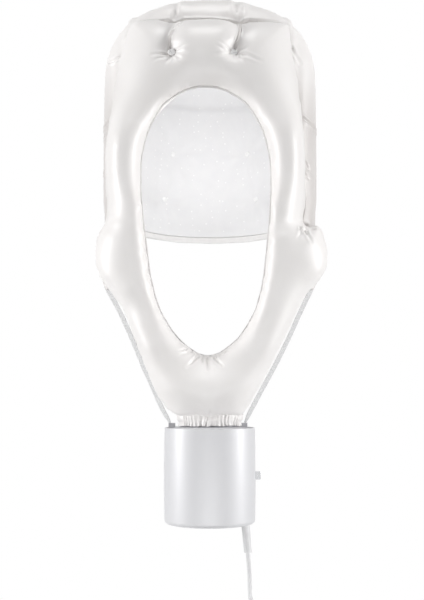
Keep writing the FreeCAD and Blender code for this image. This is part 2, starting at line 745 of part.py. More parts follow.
def barrel(name, inset, foot, over):
    """The housing's form: a loft through ellipses at base, belly and rim, this much smaller all round."""
    stations = (
        ("base", "base_narrow", foot),
        ("belly", "0", "rim_level - belly_drop"),
        ("rim", "rim_narrow", f"rim_level + {over}"),
    )
    sections = []
    for station, narrow, level in stations:
        ring = doc.addObject("Part::Ellipse", f"{name}_{station}")
        bind(ring, {"MajorRadius": f"body_wide - {narrow} - {inset}",
                    "MinorRadius": f"body_deep - {narrow} - {inset}"})
        sections.append(seat(ring, ("0", "axis_y", level)))
    loft = doc.addObject("Part::Loft", name)
    loft.Sections = sections
    loft.Solid = True
    return loft


def housing():
    """Front and rear shell: one barrel with floor, ledge, ribs and screw bosses, parted at its middle."""
    outer = barrel("barrel", "0", FLOOR, "0")
    base_level = size("rim_level") - size("body_tall")
    form = rounded("barrel_rounded", outer, size("base_round"), at_level(base_level))
    hollow = barrel("barrel_hollow", "wall", FLOOR_TOP, "1")
    wall = cut("barrel_wall", form, hollow)

    ledge_place = ("0", "axis_y", f"{DECK_FOOT} - ledge")
    ledge = cut("deck_ledge", oval("ledge_outside", "body_wide - rim_narrow - wall / 2",
                                   "body_deep - rim_narrow - wall / 2", "ledge", ledge_place),
                oval("ledge_inside", "body_wide - wall - ledge - rim_narrow",
                     "body_deep - wall - ledge - rim_narrow", "ledge", ledge_place))
    along_y = Rotation(Vector(1, 0, 0), -90)
    bosses = []
    bores = []
    boss_places = (("right_top", "boss_out", "rim_level - boss_high"),
                   ("left_top", "-boss_out", "rim_level - boss_high"),
                   ("left_low", "-boss_out", f"{FLOOR} + boss_low"))
    screws = []
    for name, out, level in boss_places:
        bosses.append(cylinder(f"boss_{name}", "boss_radius", "2 * body_deep",
                               (out, "axis_y - body_deep", level), along_y))
        head_back = "axis_y + body_deep - screw_sink - wall"
        bores.append(cylinder(f"bore_{name}", "screw_radius", "screw_long",
                              (out, f"{head_back} - screw_head_tall - screw_long", level), along_y))
        bores.append(cylinder(f"sink_{name}", "screw_head + fit", "body_deep",
                              (out, f"{head_back} - screw_head_tall", level), along_y))
        shank = cylinder(f"screw_{name}_shank", "screw_radius", "screw_long",
                         (out, f"{head_back} - screw_head_tall - screw_long", level), along_y)
        head = cylinder(f"screw_{name}_head", "screw_head", "screw_head_tall",
                        (out, f"{head_back} - screw_head_tall", level), along_y)
        screws.append(fuse(f"screw_{name}", shank, head))
    piece("housing_screws", fuse("housing_screw_set", *screws))

    rib_low = f"{FLOOR} + wall"
    ribs = []
    for side, sign in (("front", "-1"), ("rear", "1")):
        switch_side = f"axis_y + {sign} * (switch_half + rib / 2)"
        ribs.append(block(f"switch_rib_{side}", "body_wide - pocket_near", "rib",
                          f"{RECESS_FOOT} + recess_tall - ({rib_low})",
                          ("(body_wide + pocket_near) / 2", switch_side, rib_low)))
        board_side = f"axis_y + {sign} * (board_half + rib / 2)"
        ribs.append(block(f"board_rib_{side}", "body_wide - board_out", "rib",
                          "board_rise - wall + board_tall",
                          ("-(body_wide + board_out) / 2", board_side, rib_low)))
    middle = barrel("barrel_middle", "wall / 2", f"{FLOOR} + wall / 2", "0")
    inside = common("inner_fittings", fuse("fittings", *bosses, *ribs), middle)
    joined = fuse("barrel_fitted", wall, ledge, inside)

    intake = cylinder("intake_hole", f"{DUCT_BORE} - fit", "wall + 2", ("0", "axis_y", f"{FLOOR} - 1"))
    gland = cylinder("gland_hole", "relief_neck", "wall + 2", ("cord_out", "axis_y", f"{FLOOR} - 1"))
    recess = rounded("recess", block("recess_blank", "8", "2 * recess_half", "recess_tall",
                                     ("body_wide - recess_deep + 4", "axis_y", RECESS_FOOT)),
                     size("recess_half") / 2, lambda edge: edge.BoundBox.XLength > 7)
    slot = block("stem_slot", "12", "stem + 2 * knob_play", "stem + knob_travel + 2 * knob_play",
                 ("body_wide", "axis_y", f"{STEM_FOOT} - knob_play"))
    whole = cut("barrel_cut", joined, intake, gland, recess, slot, *bores)
    for side, sign in (("front", "-1"), ("rear", "1")):
        half = block(f"{side}_half", "3 * body_wide", "2 * body_deep", "2 * body_tall",
                     ("0", f"axis_y + parting + {sign} * body_deep", f"{FLOOR} - 5"))
        piece(f"{side}_shell", common(f"{side}_housing", whole, half))


def deck():
    """The top deck with the collar that the cuff grips, the duct's spigot and the two strap slots."""
    plate = oval("deck_plate", "body_wide - rim_narrow - wall - fit", "body_deep - rim_narrow - wall - fit",
                 "deck_thick", ("0", "axis_y", DECK_FOOT))
    collar = oval("collar_outside", "collar_half", "collar_deep", "collar_tall",
                  ("0", "axis_y", DECK_TOP))
    dome = slope("deck_dome", ("dome_half", "dome_deep", DECK_TOP),
                 ("collar_half", "collar_deep", f"{DECK_TOP} + dome_rise"))
    bead = oval("collar_bead", "collar_half + bead", "collar_deep + bead", "2 * bead",
                ("0", "axis_y", f"{DECK_TOP} + collar_tall - 3 * bead"))
    spigot = cylinder("spigot", "duct_radius + fit + spigot_wall", "spigot_tall",
                      ("0", "axis_y", f"{DECK_FOOT} - spigot_tall"))
    passage = oval("deck_passage", "collar_half - collar_wall", "collar_deep - collar_wall",
                   "deck_thick + collar_tall", ("0", "axis_y", f"{DECK_FOOT} + guard_ledge"))
    ledge_hole = oval("deck_hole", "collar_half - collar_wall - guard_lap",
                      "collar_deep - collar_wall - guard_lap", "deck_thick",
                      ("0", "axis_y", f"{DECK_FOOT} - guard_ledge / 2"))
    spigot_bore = cylinder("spigot_bore", "duct_radius + fit", "spigot_tall",
                           ("0", "axis_y", f"{DECK_FOOT} - spigot_tall"))
    slots = [block(f"strap_slot_{name}", "slot_far - slot_near", "slot_wide", "deck_thick + dome_rise + 2",
                   (f"{sign} * (slot_near + slot_far) / 2", "axis_y", f"{DECK_FOOT} - 1"))
             for name, sign in (("right", "1"), ("left", "-1"))]
    notch = block("needle_notch", "spigot_wall * 4", "2 * needle_bush", "2 * needle_bush",
                  ("-duct_radius - fit", "axis_y", f"{DECK_FOOT} - 2 * needle_bush"))
    blank = fuse("deck_blank", plate, collar, bead, dome, spigot)
    piece("top_deck", cut("deck", blank, passage, ledge_hole, spigot_bore, notch, *slots))

    place = ("0", "axis_y", f"{DECK_FOOT} + guard_ledge")
    half, deep = "collar_half - collar_wall - fit", "collar_deep - collar_wall - fit"
    rim = cut("guard_rim", oval("guard_outside", half, deep, "guard_thick", place),
              oval("guard_inside", f"{half} - guard_bar", f"{deep} - guard_bar", "guard_thick", place))
    bars = [block("guard_bar_long", "2 * collar_half", "guard_bar", "guard_thick", place)]
    for index in range(-3, 4):
        bars.append(block(f"guard_bar_{index + 4}", "guard_bar", "2 * collar_deep", "guard_thick",
                          (f"{index} * guard_gap", "axis_y", f"{DECK_FOOT} + guard_ledge")))
    outline = oval("guard_trim", half, deep, "guard_thick", place)
    piece("outlet_guard", common("guard", fuse("guard_blank", rim, *bars), outline))


def intake():
    """The intake grille in the floor, with slots cut round it, and the lint filter on top of it."""
    body = new_body("grille")
    reach = f"({DUCT_BORE} - 2 * fit)"
    flange = f"({DUCT_BORE} + grille_seat)"
    profile = sketch(body, "grille_profile", "XZ_Plane", (
        ("0", FLOOR), (reach, FLOOR), (reach, FLOOR_TOP), (flange, FLOOR_TOP), (flange, FILTER_FOOT),
        ("0", FILTER_FOOT)))
    revolved(body, "grille_disc", profile)
    near = "duct_radius * 0.3"
    end = f"{reach} - grille_edge"
    slot = sketch(body, "grille_slot", "XY_Plane", (
        (near, "-grille_slot_near / 2"), (end, "-grille_slot_far / 2"),
        (end, "grille_slot_far / 2"), (near, "grille_slot_near / 2")), f"{FLOOR} - 1")
    pocket = body.newObject("PartDesign::Pocket", "grille_opening")
    pocket.Profile = slot
    pocket.Type = "Length"
    pocket.setExpression("Length", cells("wall + grille_flange + 2"))
    pocket.Reversed = True
    repeated(body, "grille_openings", pocket, "grille_slots")
    piece("intake_grille", body)

    place = ("0", "axis_y", FILTER_FOOT)
    ring = cut("filter_ring", cylinder("filter_outside", "duct_radius", "filter_tall", place),
               cylinder("filter_inside", "duct_radius - filter_rim", "filter_tall", place))
    bar_long = "2 * duct_radius - filter_rim"
    bar_across = block("filter_bar_across", bar_long, "filter_rim / 2", "filter_tall", place)
    bar_deep = block("filter_bar_deep", "filter_rim / 2", bar_long, "filter_tall", place)
    mesh = cylinder("mesh_disc", "duct_radius - filter_rim", "filter_mesh",
                    ("0", "axis_y", f"{FILTER_FOOT} + filter_tall / 2"))
    frame = fuse("filter_bars", ring, bar_across, bar_deep)
    piece("filter_frame", cut("filter_frame_cut", frame, mesh))
    piece("filter_mesh", mesh)


def duct():
    """The air duct round fan and heater, and the mica sleeve that lines it there."""
    tall = f"{DUCT_TOP} - {DUCT_FOOT}"
    tube = cut("duct_tube", cylinder("duct_outside", "duct_radius", tall, ("0", "axis_y", DUCT_FOOT)),
               cylinder("duct_inside", DUCT_BORE, f"{tall} + 2", ("0", "axis_y", f"{DUCT_FOOT} - 1")))
    piece("air_duct", tube)
    place = ("0", "axis_y", HEATER_FOOT)
    piece("mica_sleeve", cut("sleeve_tube", cylinder("sleeve_outside", DUCT_BORE, "heater_tall", place),
                             cylinder("sleeve_inside", f"{DUCT_BORE} - sleeve", "heater_tall", place)))


def impeller():
    """An axial impeller: a domed hub cup and twisted blades, each lofted from its root to its tip."""
    body = new_body("fan")
    wall = "hub_wall"
    profile = sketch(body, "hub_profile", "XZ_Plane", (
        ("shaft_radius", FAN_FOOT), ("fan_hub * 0.6", FAN_FOOT), ("fan_hub", f"{FAN_FOOT} + fan_hub * 0.4"),
        ("fan_hub", f"{FAN_FOOT} + fan_tall"), (f"fan_hub - {wall}", f"{FAN_FOOT} + fan_tall"),
        (f"fan_hub - {wall}", f"{FAN_FOOT} + fan_hub * 0.4 + {wall}"),
        ("shaft_radius + 2", f"{FAN_FOOT} + {wall} * 2"), ("shaft_radius + 2", f"{FAN_FOOT} + fan_tall - 2"),
        ("shaft_radius", f"{FAN_FOOT} + fan_tall - 2")))
    revolved(body, "hub", profile)
    sections = []
    for name, out, pitch in (("root", "fan_hub - hub_wall / 2", "fan_root_pitch"),
                             ("tip", "fan_radius", "fan_tip_pitch")):
        lean = math.radians(size(pitch))
        across = size("fan_chord") / 2
        half = size("fan_blade_thick") / 2
        corners = []
        for along, over in ((-1, -1), (1, -1), (1, 1), (-1, 1)):
            corners.append((f"{along * across * math.cos(lean) - over * half * math.sin(lean):.4f}",
                            f"{along * across * math.sin(lean) + over * half * math.cos(lean):.4f}"
                            f" + {FAN_FOOT} + fan_tall / 2"))
        sections.append(sketch(body, f"blade_{name}", "YZ_Plane", corners, out))
    blade = body.newObject("PartDesign::AdditiveLoft", "blade")
    blade.Profile = sections[0]
    blade.Sections = [sections[1]]
    blade.Ruled = True
    repeated(body, "blades", blade, "fan_blades")
    piece("impeller", body)


def motor():
    """A small can motor: can, magnets, end cap and bushes around the armature on its shaft."""
    place = ("0", "axis_y", CAN_FOOT)
    solid_can = cylinder("can_outside", "motor_radius", "motor_tall", place)
    inside = cylinder("can_inside", "motor_radius - can_wall", "motor_tall",
                      ("0", "axis_y", f"{CAN_FOOT} + can_wall"))
    bush_hole = cylinder("can_hole", "bush_radius", "3 * can_wall", ("0", "axis_y", f"{CAN_FOOT} - can_wall"))
    piece("motor_can", cut("can", solid_can, inside, bush_hole))

    cap = cylinder("cap_disc", "motor_radius - can_wall", "2 * can_wall",
                   ("0", "axis_y", f"{CAN_TOP} - 2 * can_wall"))
    cap_hole = cylinder("cap_hole", "bush_radius", "4 * can_wall",
                        ("0", "axis_y", f"{CAN_TOP} - 3 * can_wall"))
    tags = []
    for name, sign in (("right", "1"), ("left", "-1")):
        tags.append(block(f"cap_tag_{name}", "tag_thick", "tag_wide", "tag_tall",
                          (f"{sign} * motor_radius / 2", "axis_y", CAN_TOP)))
    piece("motor_end_cap", fuse("end_cap", cut("cap", cap, cap_hole), *tags))

    bushes = []
    for name, low in (("low", f"{CAN_FOOT} + can_wall - bush_tall"),
                      ("high", f"{CAN_TOP} - bush_tall / 2 - can_wall")):
        ring = cylinder(f"bush_{name}", "bush_radius", "bush_tall", ("0", "axis_y", low))
        bore = cylinder(f"bush_{name}_bore", "shaft_radius + shaft_play", "bush_tall", ("0", "axis_y", low))
        bushes.append(cut(f"bush_{name}_ring", ring, bore))
    piece("motor_bushes", fuse("bush_pair", *bushes))

    low = f"{CORE_FOOT} - 1"
    magnet_place = ("0", "axis_y", low)
    magnet_tall = "core_tall + 2"
    ring = cut("magnet_ring",
               cylinder("magnet_outside", "motor_radius - can_wall", magnet_tall, magnet_place),
               cylinder("magnet_inside", "motor_radius - can_wall - magnet_thick", magnet_tall, magnet_place))
    split = block("magnet_split", "motor_radius", "3 * motor_radius", "core_tall + 2", magnet_place)
    piece("motor_magnets", cut("magnets", ring, split))

    core = cylinder("core", CORE_RADIUS, "core_tall", ("0", "axis_y", CORE_FOOT))
    commutator = cylinder("commutator", "commutator_radius", "commutator_tall",
                          ("0", "axis_y", f"{CORE_FOOT} + core_tall"))
    shaft_bore = cylinder("core_bore", "shaft_radius", "2 * core_tall", ("0", "axis_y", f"{CORE_FOOT} - 1"))
    gaps = []
    wide, deep = size("core_gap"), size("core_gap_deep")
    for index in range(3):
        gap = doc.addObject("Part::Box", f"core_gap_{index + 1}")
        bind(gap, {"Length": "core_gap", "Width": "core_gap_deep", "Height": "core_tall + 2"})
        turn = Rotation(Vector(0, 0, 1), 120 * index)
        corner = turn.multVec(Vector(-wide / 2, size("motor_radius") - 3 - deep / 2, 0))
        gap.Placement = Placement(corner + Vector(0, size("axis_y"), 0), turn)
        gap.setExpression("Placement.Base.z", cells(f"{CORE_FOOT} - 1"))
        gaps.append(gap)
    piece("armature", cut("rotor_core", fuse("core_blank", core, commutator), shaft_bore, *gaps))
    piece("motor_shaft", cylinder("shaft", "shaft_radius", "shaft_long",
                                  ("0", "axis_y", f"{FAN_FOOT} + 0.5")))


def motor_mount():
    """The mount: a ring in the duct, stator vanes, and a cup that holds the motor."""
    body = new_body("spider")
    bore = DUCT_BORE
    ring = sketch(body, "ring_profile", "XZ_Plane", (
        (f"{bore} - mount_wall", MOUNT_FOOT), (bore, MOUNT_FOOT), (bore, f"{MOUNT_FOOT} + mount_tall"),
        (f"{bore} - mount_wall", f"{MOUNT_FOOT} + mount_tall")))
    revolved(body, "mount_ring", ring)
    inner, outer = "motor_radius + mount_wall / 2", f"{bore} - mount_wall / 2"
    vane = sketch(body, "vane_outline", "XY_Plane", (
        (inner, "-mount_wall / 2"), (outer, "mount_wall * 2"),
        (outer, "mount_wall * 3"), (inner, "mount_wall / 2")), MOUNT_FOOT)
    vane_pad = padded(body, "vane", vane, "mount_tall - 1")
    repeated(body, "vanes", vane_pad, "mount_vanes")
    cup_hole = "bush_radius + 1.5"
    cup_out = "motor_radius + mount_wall"
    cup_top = f"{MOUNT_FOOT} + mount_tall"
    cup = sketch(body, "cup_profile", "XZ_Plane", (
        (cup_hole, MOUNT_FOOT), (cup_out, MOUNT_FOOT), (cup_out, cup_top),
        ("motor_radius", cup_top), ("motor_radius", CAN_FOOT), (cup_hole, CAN_FOOT)))
    turn = revolved(body, "cup", cup)
    body.Tip = turn
    piece("motor_mount", body)


def heater():
    """Crossed mica boards with ears that seat in the sleeve, and the winding from edge to edge."""
    reach = f"({DUCT_BORE} - sleeve)"
    place = ("0", "axis_y", HEATER_FOOT)
    boards = []
    for name, wide, deep in (("across", f"2 * {reach}", "mica"), ("deep", "mica", f"2 * {reach}")):
        boards.append(block(f"board_{name}", wide, deep, "heater_tall", place))
    waist_place = ("0", "axis_y", f"{HEATER_FOOT} + ear_tall")
    keep = cylinder("former_waist", "winding_radius - wire_radius", "heater_tall - 2 * ear_tall", waist_place)
    zone = cylinder("former_zone", "duct_radius", "heater_tall - 2 * ear_tall", waist_place)
    outside = cut("former_outside", zone, keep)
    trim = cylinder("former_trim", reach, "heater_tall", place)
    blank = cut("former_blank", fuse("crossed_boards", *boards), outside)
    piece("heater_former", common("former", blank, trim))

    axis = size("axis_y")
    pitch = size("winding_pitch")
    radius = size("winding_radius")
    start = heater_level() + (size("heater_tall") - size("winding_turns") * pitch) / 2
    points = []
    for step in range(int(size("winding_turns")) * 4 + 1):
        turn = math.pi / 2 * step
        points.append(Vector(radius * math.cos(turn), axis + radius * math.sin(turn),
                             start + pitch * step / 4))
    path = Part.makePolygon(points)
    ring = Part.Wire(Part.makeCircle(size("wire_radius"), points[0], points[1] - points[0]))
    winding = path.makePipeShell([ring], True, False, 1)
    piece("heater_winding", cut("winding", shape("winding_blank", winding), pieces["heater_former"]))

    level = f"{HEATER_FOOT} + heater_tall - sensor_drop"
    piece("thermostat", block("thermostat_can", "12", "4", "8", ("14", "axis_y + mica / 2 + 2", level)))
    fuse_turn = Rotation(Vector(0, 1, 0), 90)
    piece("thermal_fuse", cylinder("fuse_tube", "fuse_radius", "9",
                                   ("-20", "axis_y - mica / 2 - fuse_radius", f"{level} + 4"), fuse_turn))


def heater_level():
    """The heater's foot as a number, counted up from the floor as its formula is."""
    floor = size("rim_level") - size("body_tall") + size("wall")
    fan = floor + size("grille_flange") + size("filter_tall") + size("fan_rise")
    mount = fan + size("fan_tall") + size("mount_gap")
    return mount + size("mount_wall") + size("motor_tall") + size("heater_rise")


def electronics():
    """The left pocket: circuit board with its parts, the ion module and its needle."""
    foot = f"{FLOOR} + board_rise"
    board = block("board", "board_thick", "2 * board_half", "board_tall",
                  ("-board_out - board_thick / 2", "axis_y", foot))
    piece("circuit_board", board)
    parts = []
    along_x = Rotation(Vector(0, 1, 0), 90)
    for index in range(4):
        parts.append(block(f"diode_{index + 1}", "2.4", "2.8", "5.5", (
            "-board_out + 1.2", f"axis_y - 9 + 6 * {index}", f"{foot} + 8")))
    parts.append(cylinder("capacitor", "4", "5", ("-board_out", "axis_y - 6", f"{foot} + 24"), along_x))
    parts.append(block("resistor", "3", "6", "9", ("-board_out + 1.5", "axis_y + 7", f"{foot} + 20")))
    parts.append(block("connector", "4", "12", "5", ("-board_out + 2", "axis_y", f"{foot} + 40")))
    piece("board_parts", fuse("board_part_set", *parts))

    ion_foot = f"{foot} + board_tall + 1"
    piece("ion_module", block("ion_block", "ion_deep", "2 * ion_half", "ion_tall",
                              ("-board_out + ion_deep / 2 - 4", "axis_y", ion_foot)))
    level = f"{DECK_FOOT} - needle_bush"
    outside = "-duct_radius - fit - spigot_wall"
    blank = cylinder("needle_bush_blank", "needle_bush", "spigot_wall + 4",
                     (f"{outside} - 1", "axis_y", level), along_x)
    tip_place = (f"{outside} - 2", "axis_y", level)
    bore = cylinder("needle_bush_bore", "needle_radius", "9", tip_place, along_x)
    piece("needle_bush", cut("bush_of_needle", blank, bore))
    piece("ion_needle", cylinder("needle", "needle_radius", "needle_long", tip_place, along_x))


def switch_side():
    """The right pocket: switch body with its slider's channel, knob, terminal block and cord clamp."""
    body_foot = f"{RECESS_FOOT} - (switch_tall - recess_tall) / 2"
    body = block("switch_block", "switch_deep", "2 * switch_half", "switch_tall",
                 ("pocket_near + switch_deep / 2", "axis_y", body_foot))
    channel = block("switch_channel", "8", "stem + 2 * knob_play", "stem + knob_travel + 2 * knob_play",
                    ("pocket_near + switch_deep", "axis_y", f"{STEM_FOOT} - knob_play"))
    piece("switch_body", cut("switch", body, channel))

    knob_back = "body_wide - recess_deep + knob_play"
    cap = block("knob_cap", "recess_deep - knob_play + knob_out", "2 * knob_half", "knob_tall",
                (f"{knob_back} + (recess_deep - knob_play + knob_out) / 2", "axis_y", KNOB_FOOT))
    stem = block("knob_stem", f"{knob_back} - pocket_near - switch_deep + 3", "stem", "stem",
                 (f"({knob_back} + pocket_near + switch_deep - 3) / 2", "axis_y", STEM_FOOT))
    cap_rounded = rounded("knob_rounded", cap, 1.2, lambda edge: edge.BoundBox.XMin > size("body_wide") + 1)
    piece("switch_knob", fuse("knob", cap_rounded, stem))

    piece("terminal_block", block("terminal", "switch_deep", "2 * switch_half", "terminal_tall",
                                  ("pocket_near + switch_deep / 2", "axis_y", f"{FLOOR} + terminal_rise")))
    clamp = block("clamp_block", "10", "2 * switch_half", "clamp_tall",
                  ("cord_out + 1", "axis_y", f"{FLOOR} + clamp_rise"))
    tail = cylinder("cord_tail", "cord_radius", "terminal_rise - wall - grille_flange",
                    ("cord_out", "axis_y", f"{FLOOR_TOP} + grille_flange"))
    piece("cord_clamp", cut("clamp", clamp, tail))
    piece("cord_inner_end", tail)


def strain_relief():
    """The strain relief: a flange inside, a neck in the floor, and a tapered sleeve that leans outwards."""
    floor = size("rim_level") - size("body_tall")
    wall = size("wall")
    flange = Part.makeCylinder(size("switch_half") - size("fit"), size("grille_flange"), Vector(0, 0, wall))
    neck = Part.makeCylinder(size("relief_neck"), wall, Vector(0, 0, 0))
    long = size("relief_long")
    sleeve = Part.makeCone(size("relief_end"), size("relief_radius"), long, Vector(0, 0, -long))
    sleeve.rotate(Vector(0, 0, 0), Vector(0, 1, 0), -size("relief_lean"))
    ball = Part.makeSphere(size("relief_neck"), Vector(0, 0, 0))
    lower = Part.makeBox(long, long, 2 * long, Vector(-long / 2, -long / 2, -2 * long))
    outside = sleeve.fuse(ball).common(lower)
    whole = flange.fuse([neck, outside]).removeSplitter()
    whole.translate(Vector(size("cord_out"), size("axis_y"), floor))
    piece("strain_relief", shape("relief", whole))


def relief_mouth():
    """Where the cord leaves the strain relief, and its direction there."""
    lean = math.radians(size("relief_lean"))
    way = Vector(math.sin(lean), 0, -math.cos(lean))
    top = Vector(size("cord_out"), size("axis_y"), size("rim_level") - size("body_tall"))
    return top + way * size("relief_long"), way


def tube_path(points):
    """Straight runs joined by tangent arcs, each as large as its two runs allow."""
    edges = []
    start = points[0]
    radii = []
    for index in range(1, len(points) - 1):
        here = points[index]
        back = points[index - 1] - here
        ahead = points[index + 1] - here
        shorter = min(back.Length, ahead.Length)
        back = back.normalize()
        ahead = ahead.normalize()
        turn = math.pi - back.getAngle(ahead)
        reach = 0.45 * shorter
        radius = reach / math.tan(turn / 2)
        middle = here + (back + ahead).normalize() * (radius / math.cos(turn / 2) - radius)
        radii.append(round(radius, 1))
        edges.append(Part.LineSegment(start, here + back * reach).toShape())
        edges.append(Part.Arc(here + back * reach, middle, here + ahead * reach).toShape())
        start = here + ahead * reach
    edges.append(Part.LineSegment(start, points[-1]).toShape())
    return Part.Wire(edges), radii


def cord():
    """The hanging cord, its put away coil held by a tie, and the plug that hangs below it."""
    radius = size("cord_radius")
    axis = size("axis_y")
    mouth, way = relief_mouth()
    mean = size("coil_mean")
    wide = size("coil_rows") * 2 * radius
    outer_turn = mean + radius
    lead = Vector(mouth.x + 2, axis, 0)
    centre = Vector(lead.x, axis, size("rim_level") - size("coil_below"))
    join = centre + Vector(1, 0, 1) * (outer_turn * math.sqrt(0.5))
    route = [
        mouth,
        mouth + way * 20,
        Vector(lead.x, axis, mouth.z - 34),
        centre + Vector(0, 0, outer_turn * math.sqrt(2)),
        join,
    ]
    path, radii = tube_path(route)
    ring = Part.Wire(Part.makeCircle(radius, mouth, way))
    tube = path.makePipeShell([ring], True, False)
    share = tube.Volume / (math.pi * radius ** 2 * path.Length)
    print("cord arc radii", radii, "volume share", round(share, 4))

    face = centre - Vector(0, wide / 2, 0)
    coil = Part.makeCylinder(mean + 2 * radius, wide, face, Vector(0, 1, 0))
    coil = coil.cut(Part.makeCylinder(mean - 2 * radius, wide, face, Vector(0, 1, 0)))
    coil = coil.makeFillet(radius, [edge for edge in coil.Edges if edge.BoundBox.YLength < 0.01])
    tail_foot = centre + Vector(outer_turn, 0, -size("tail_drop"))
    tail = Part.makeCylinder(radius, size("tail_drop"), tail_foot, Vector(0, 0, 1))
    piece("cord", shape("cord_tube", tube.cut(coil)))
    piece("cord_coil", shape("coil", coil.fuse(tail).removeSplitter()))

    tie_wide = size("tie_wide")
    tie_thick = size("tie_thick")
    deep = 4 * radius + 2 * tie_thick
    tie = Part.makeBox(tie_wide, wide + 2 * tie_thick, deep,
                       centre + Vector(-tie_wide / 2, -wide / 2 - tie_thick, mean - deep / 2))
    tie = tie.makeFillet(radius, [edge for edge in tie.Edges if edge.BoundBox.XLength > tie_wide - 0.01])
    tie.rotate(centre, Vector(0, 1, 0), -size("tie_turn"))
    piece("cord_tie", shape("tie", tie.cut(coil)))

    relief_long = size("plug_relief")
    relief = Part.makeCone(radius * 1.9, radius * 1.3, relief_long, tail_foot - Vector(0, 0, relief_long))
    piece("plug_relief", shape("plug_relief_cone", relief))
    body_top = tail_foot.z - relief_long
    long = size("plug_long")
    half = size("plug_wide") / 2
    corners = [(0.36 * half, 0, 4), (half, -0.62 * long, 6), (0.8 * half, -long, 2)]
    mirrored = [(-x, z, bend) for x, z, bend in reversed(corners)]
    body = slab(rounded_outline(corners + mirrored), -size("plug_thick") / 2, size("plug_thick"))
    body = body.makeFillet(1.8, [edge for edge in body.Edges if edge.BoundBox.YLength < 0.01])
    body.translate(Vector(tail_foot.x, axis, body_top))
    piece("plug_body", shape("plug", body))
    pins = []
    for sign in (-1, 1):
        foot = Vector(tail_foot.x + sign * size("pin_apart") / 2, axis, body_top - long)
        pin = Part.makeCylinder(size("pin_radius"), size("pin_long"), foot, Vector(0, 0, -1))
        pins.append(pin.makeFillet(1, [edge for edge in pin.Edges if edge.BoundBox.ZMax < foot.z - 1]))
    piece("plug_pins", shape("pins", Part.makeCompound(pins)))


front_chamber = bonnet_chambers()
bonnet_bindings()
cuff(front_chamber)
straps(front_chamber)
weld_discs()
housing()
deck()
intake()
duct()
impeller()
motor_mount()
motor()
heater()
electronics()
switch_side()
strain_relief()
cord()
doc.recompute()

failed = []
for thing in doc.Objects:
    if "Invalid" in thing.State or "Error" in thing.State:
        failed.append(thing.Name)
for node, thing in pieces.items():
    form = thing.Shape
    if form.isNull() or not form.isValid() or form.Volume <= 0:
        failed.append(node)
if failed:
    raise RuntimeError(f"did not build: {failed}")

os.makedirs("parts", exist_ok=True)
for node, thing in pieces.items():
    thing.Shape.exportStep(os.path.join("parts", f"{node}.step"))
    print(f"{node}: {len(thing.Shape.Solids)} solid(s), {thing.Shape.Volume / 1000:.2f} cm3")
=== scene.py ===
# %% [markdown]
# # A soft bonnet hair dryer
# The object is an inflated fabric hood that is worn on the head, with a small
# dryer unit hanging from its funnel in front of the chest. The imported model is
# loaded first and stays as it is. Everything here is in metres, in the same frame:
# X to the wearer's left, Y to the back, Z up, origin where the crown rests.

# %% Load the fixed model
import bmesh
import bpy
import math
from mathutils import Matrix, Vector, noise
from mathutils.kdtree import KDTree


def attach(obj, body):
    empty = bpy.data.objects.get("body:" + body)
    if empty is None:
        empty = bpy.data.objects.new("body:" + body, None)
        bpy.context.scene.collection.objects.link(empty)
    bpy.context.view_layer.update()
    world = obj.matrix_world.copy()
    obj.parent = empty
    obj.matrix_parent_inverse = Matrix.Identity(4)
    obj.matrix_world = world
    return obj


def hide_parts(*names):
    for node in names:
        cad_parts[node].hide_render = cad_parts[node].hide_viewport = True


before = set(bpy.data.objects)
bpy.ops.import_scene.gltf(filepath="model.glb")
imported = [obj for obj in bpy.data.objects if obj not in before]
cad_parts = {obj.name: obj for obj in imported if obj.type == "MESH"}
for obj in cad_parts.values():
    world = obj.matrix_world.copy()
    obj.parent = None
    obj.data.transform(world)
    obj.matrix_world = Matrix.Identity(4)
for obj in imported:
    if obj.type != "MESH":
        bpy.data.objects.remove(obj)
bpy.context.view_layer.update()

scene = bpy.context.scene
print("nodes loaded:", len(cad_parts))


def mm(*values):
    """Millimetres as metres: one number, or a vector of three."""
    scaled = [value / 1000 for value in values]
    return scaled[0] if len(scaled) == 1 else Vector(scaled)


AXIS_Y = -102
print("dryer axis ahead of the head:", mm(-AXIS_Y), "m")

# %% [markdown]
# ## The camera
# The product was photographed from the front with a longish lens, at the height of
# its cuff and turned slightly up. The lens and the distance were found from the
# hood's depth: near parts grow more than far ones only as much as they do at 1.1 m.

# %% Place the camera
EYE = (2.6, -1180.0, -474.0)
CAMERA_TILT = 95.52


def put_in_scene(name, data):
    """An object of this mesh, curve, lamp or lens, linked to the scene."""
    thing = bpy.data.objects.new(name, data)
    scene.collection.objects.link(thing)
    return thing


lens = bpy.data.cameras.new("camera")
lens.lens = 54
lens.sensor_width = 36
camera = put_in_scene("camera", lens)
camera.location = mm(*EYE)
camera.rotation_euler = (math.radians(CAMERA_TILT), 0, 0)
scene.camera = camera
print("camera to the dryer's axis:", round(abs(camera.location.y - mm(AXIS_Y)), 3), "m")

# %% [markdown]
# ## The mains cord
# A PVC cord is a smooth round tube, so it is a curve with a round bevel. Its points
# are the route's own: out of the strain relief, straight down, and then ten turns
# of the put away coil, five side by side in two layers, before it drops to the plug.

# %% The cord's route
CORD_RADIUS = 2.5
COIL_CENTRE = (46.67, -768.0)
COIL_ROWS = [0, 5, 10, 10, 5, 0, -5, -10, -10, -5, 0]
COIL_RADII = [31, 31, 31, 26, 26, 26, 26, 26, 31, 31, 31]
TURNS = 10
STEPS_PER_TURN = 16
START_TURN = 45
END_TURN = 90 + 360 * TURNS
SPLINE_SHRINK = 1.012

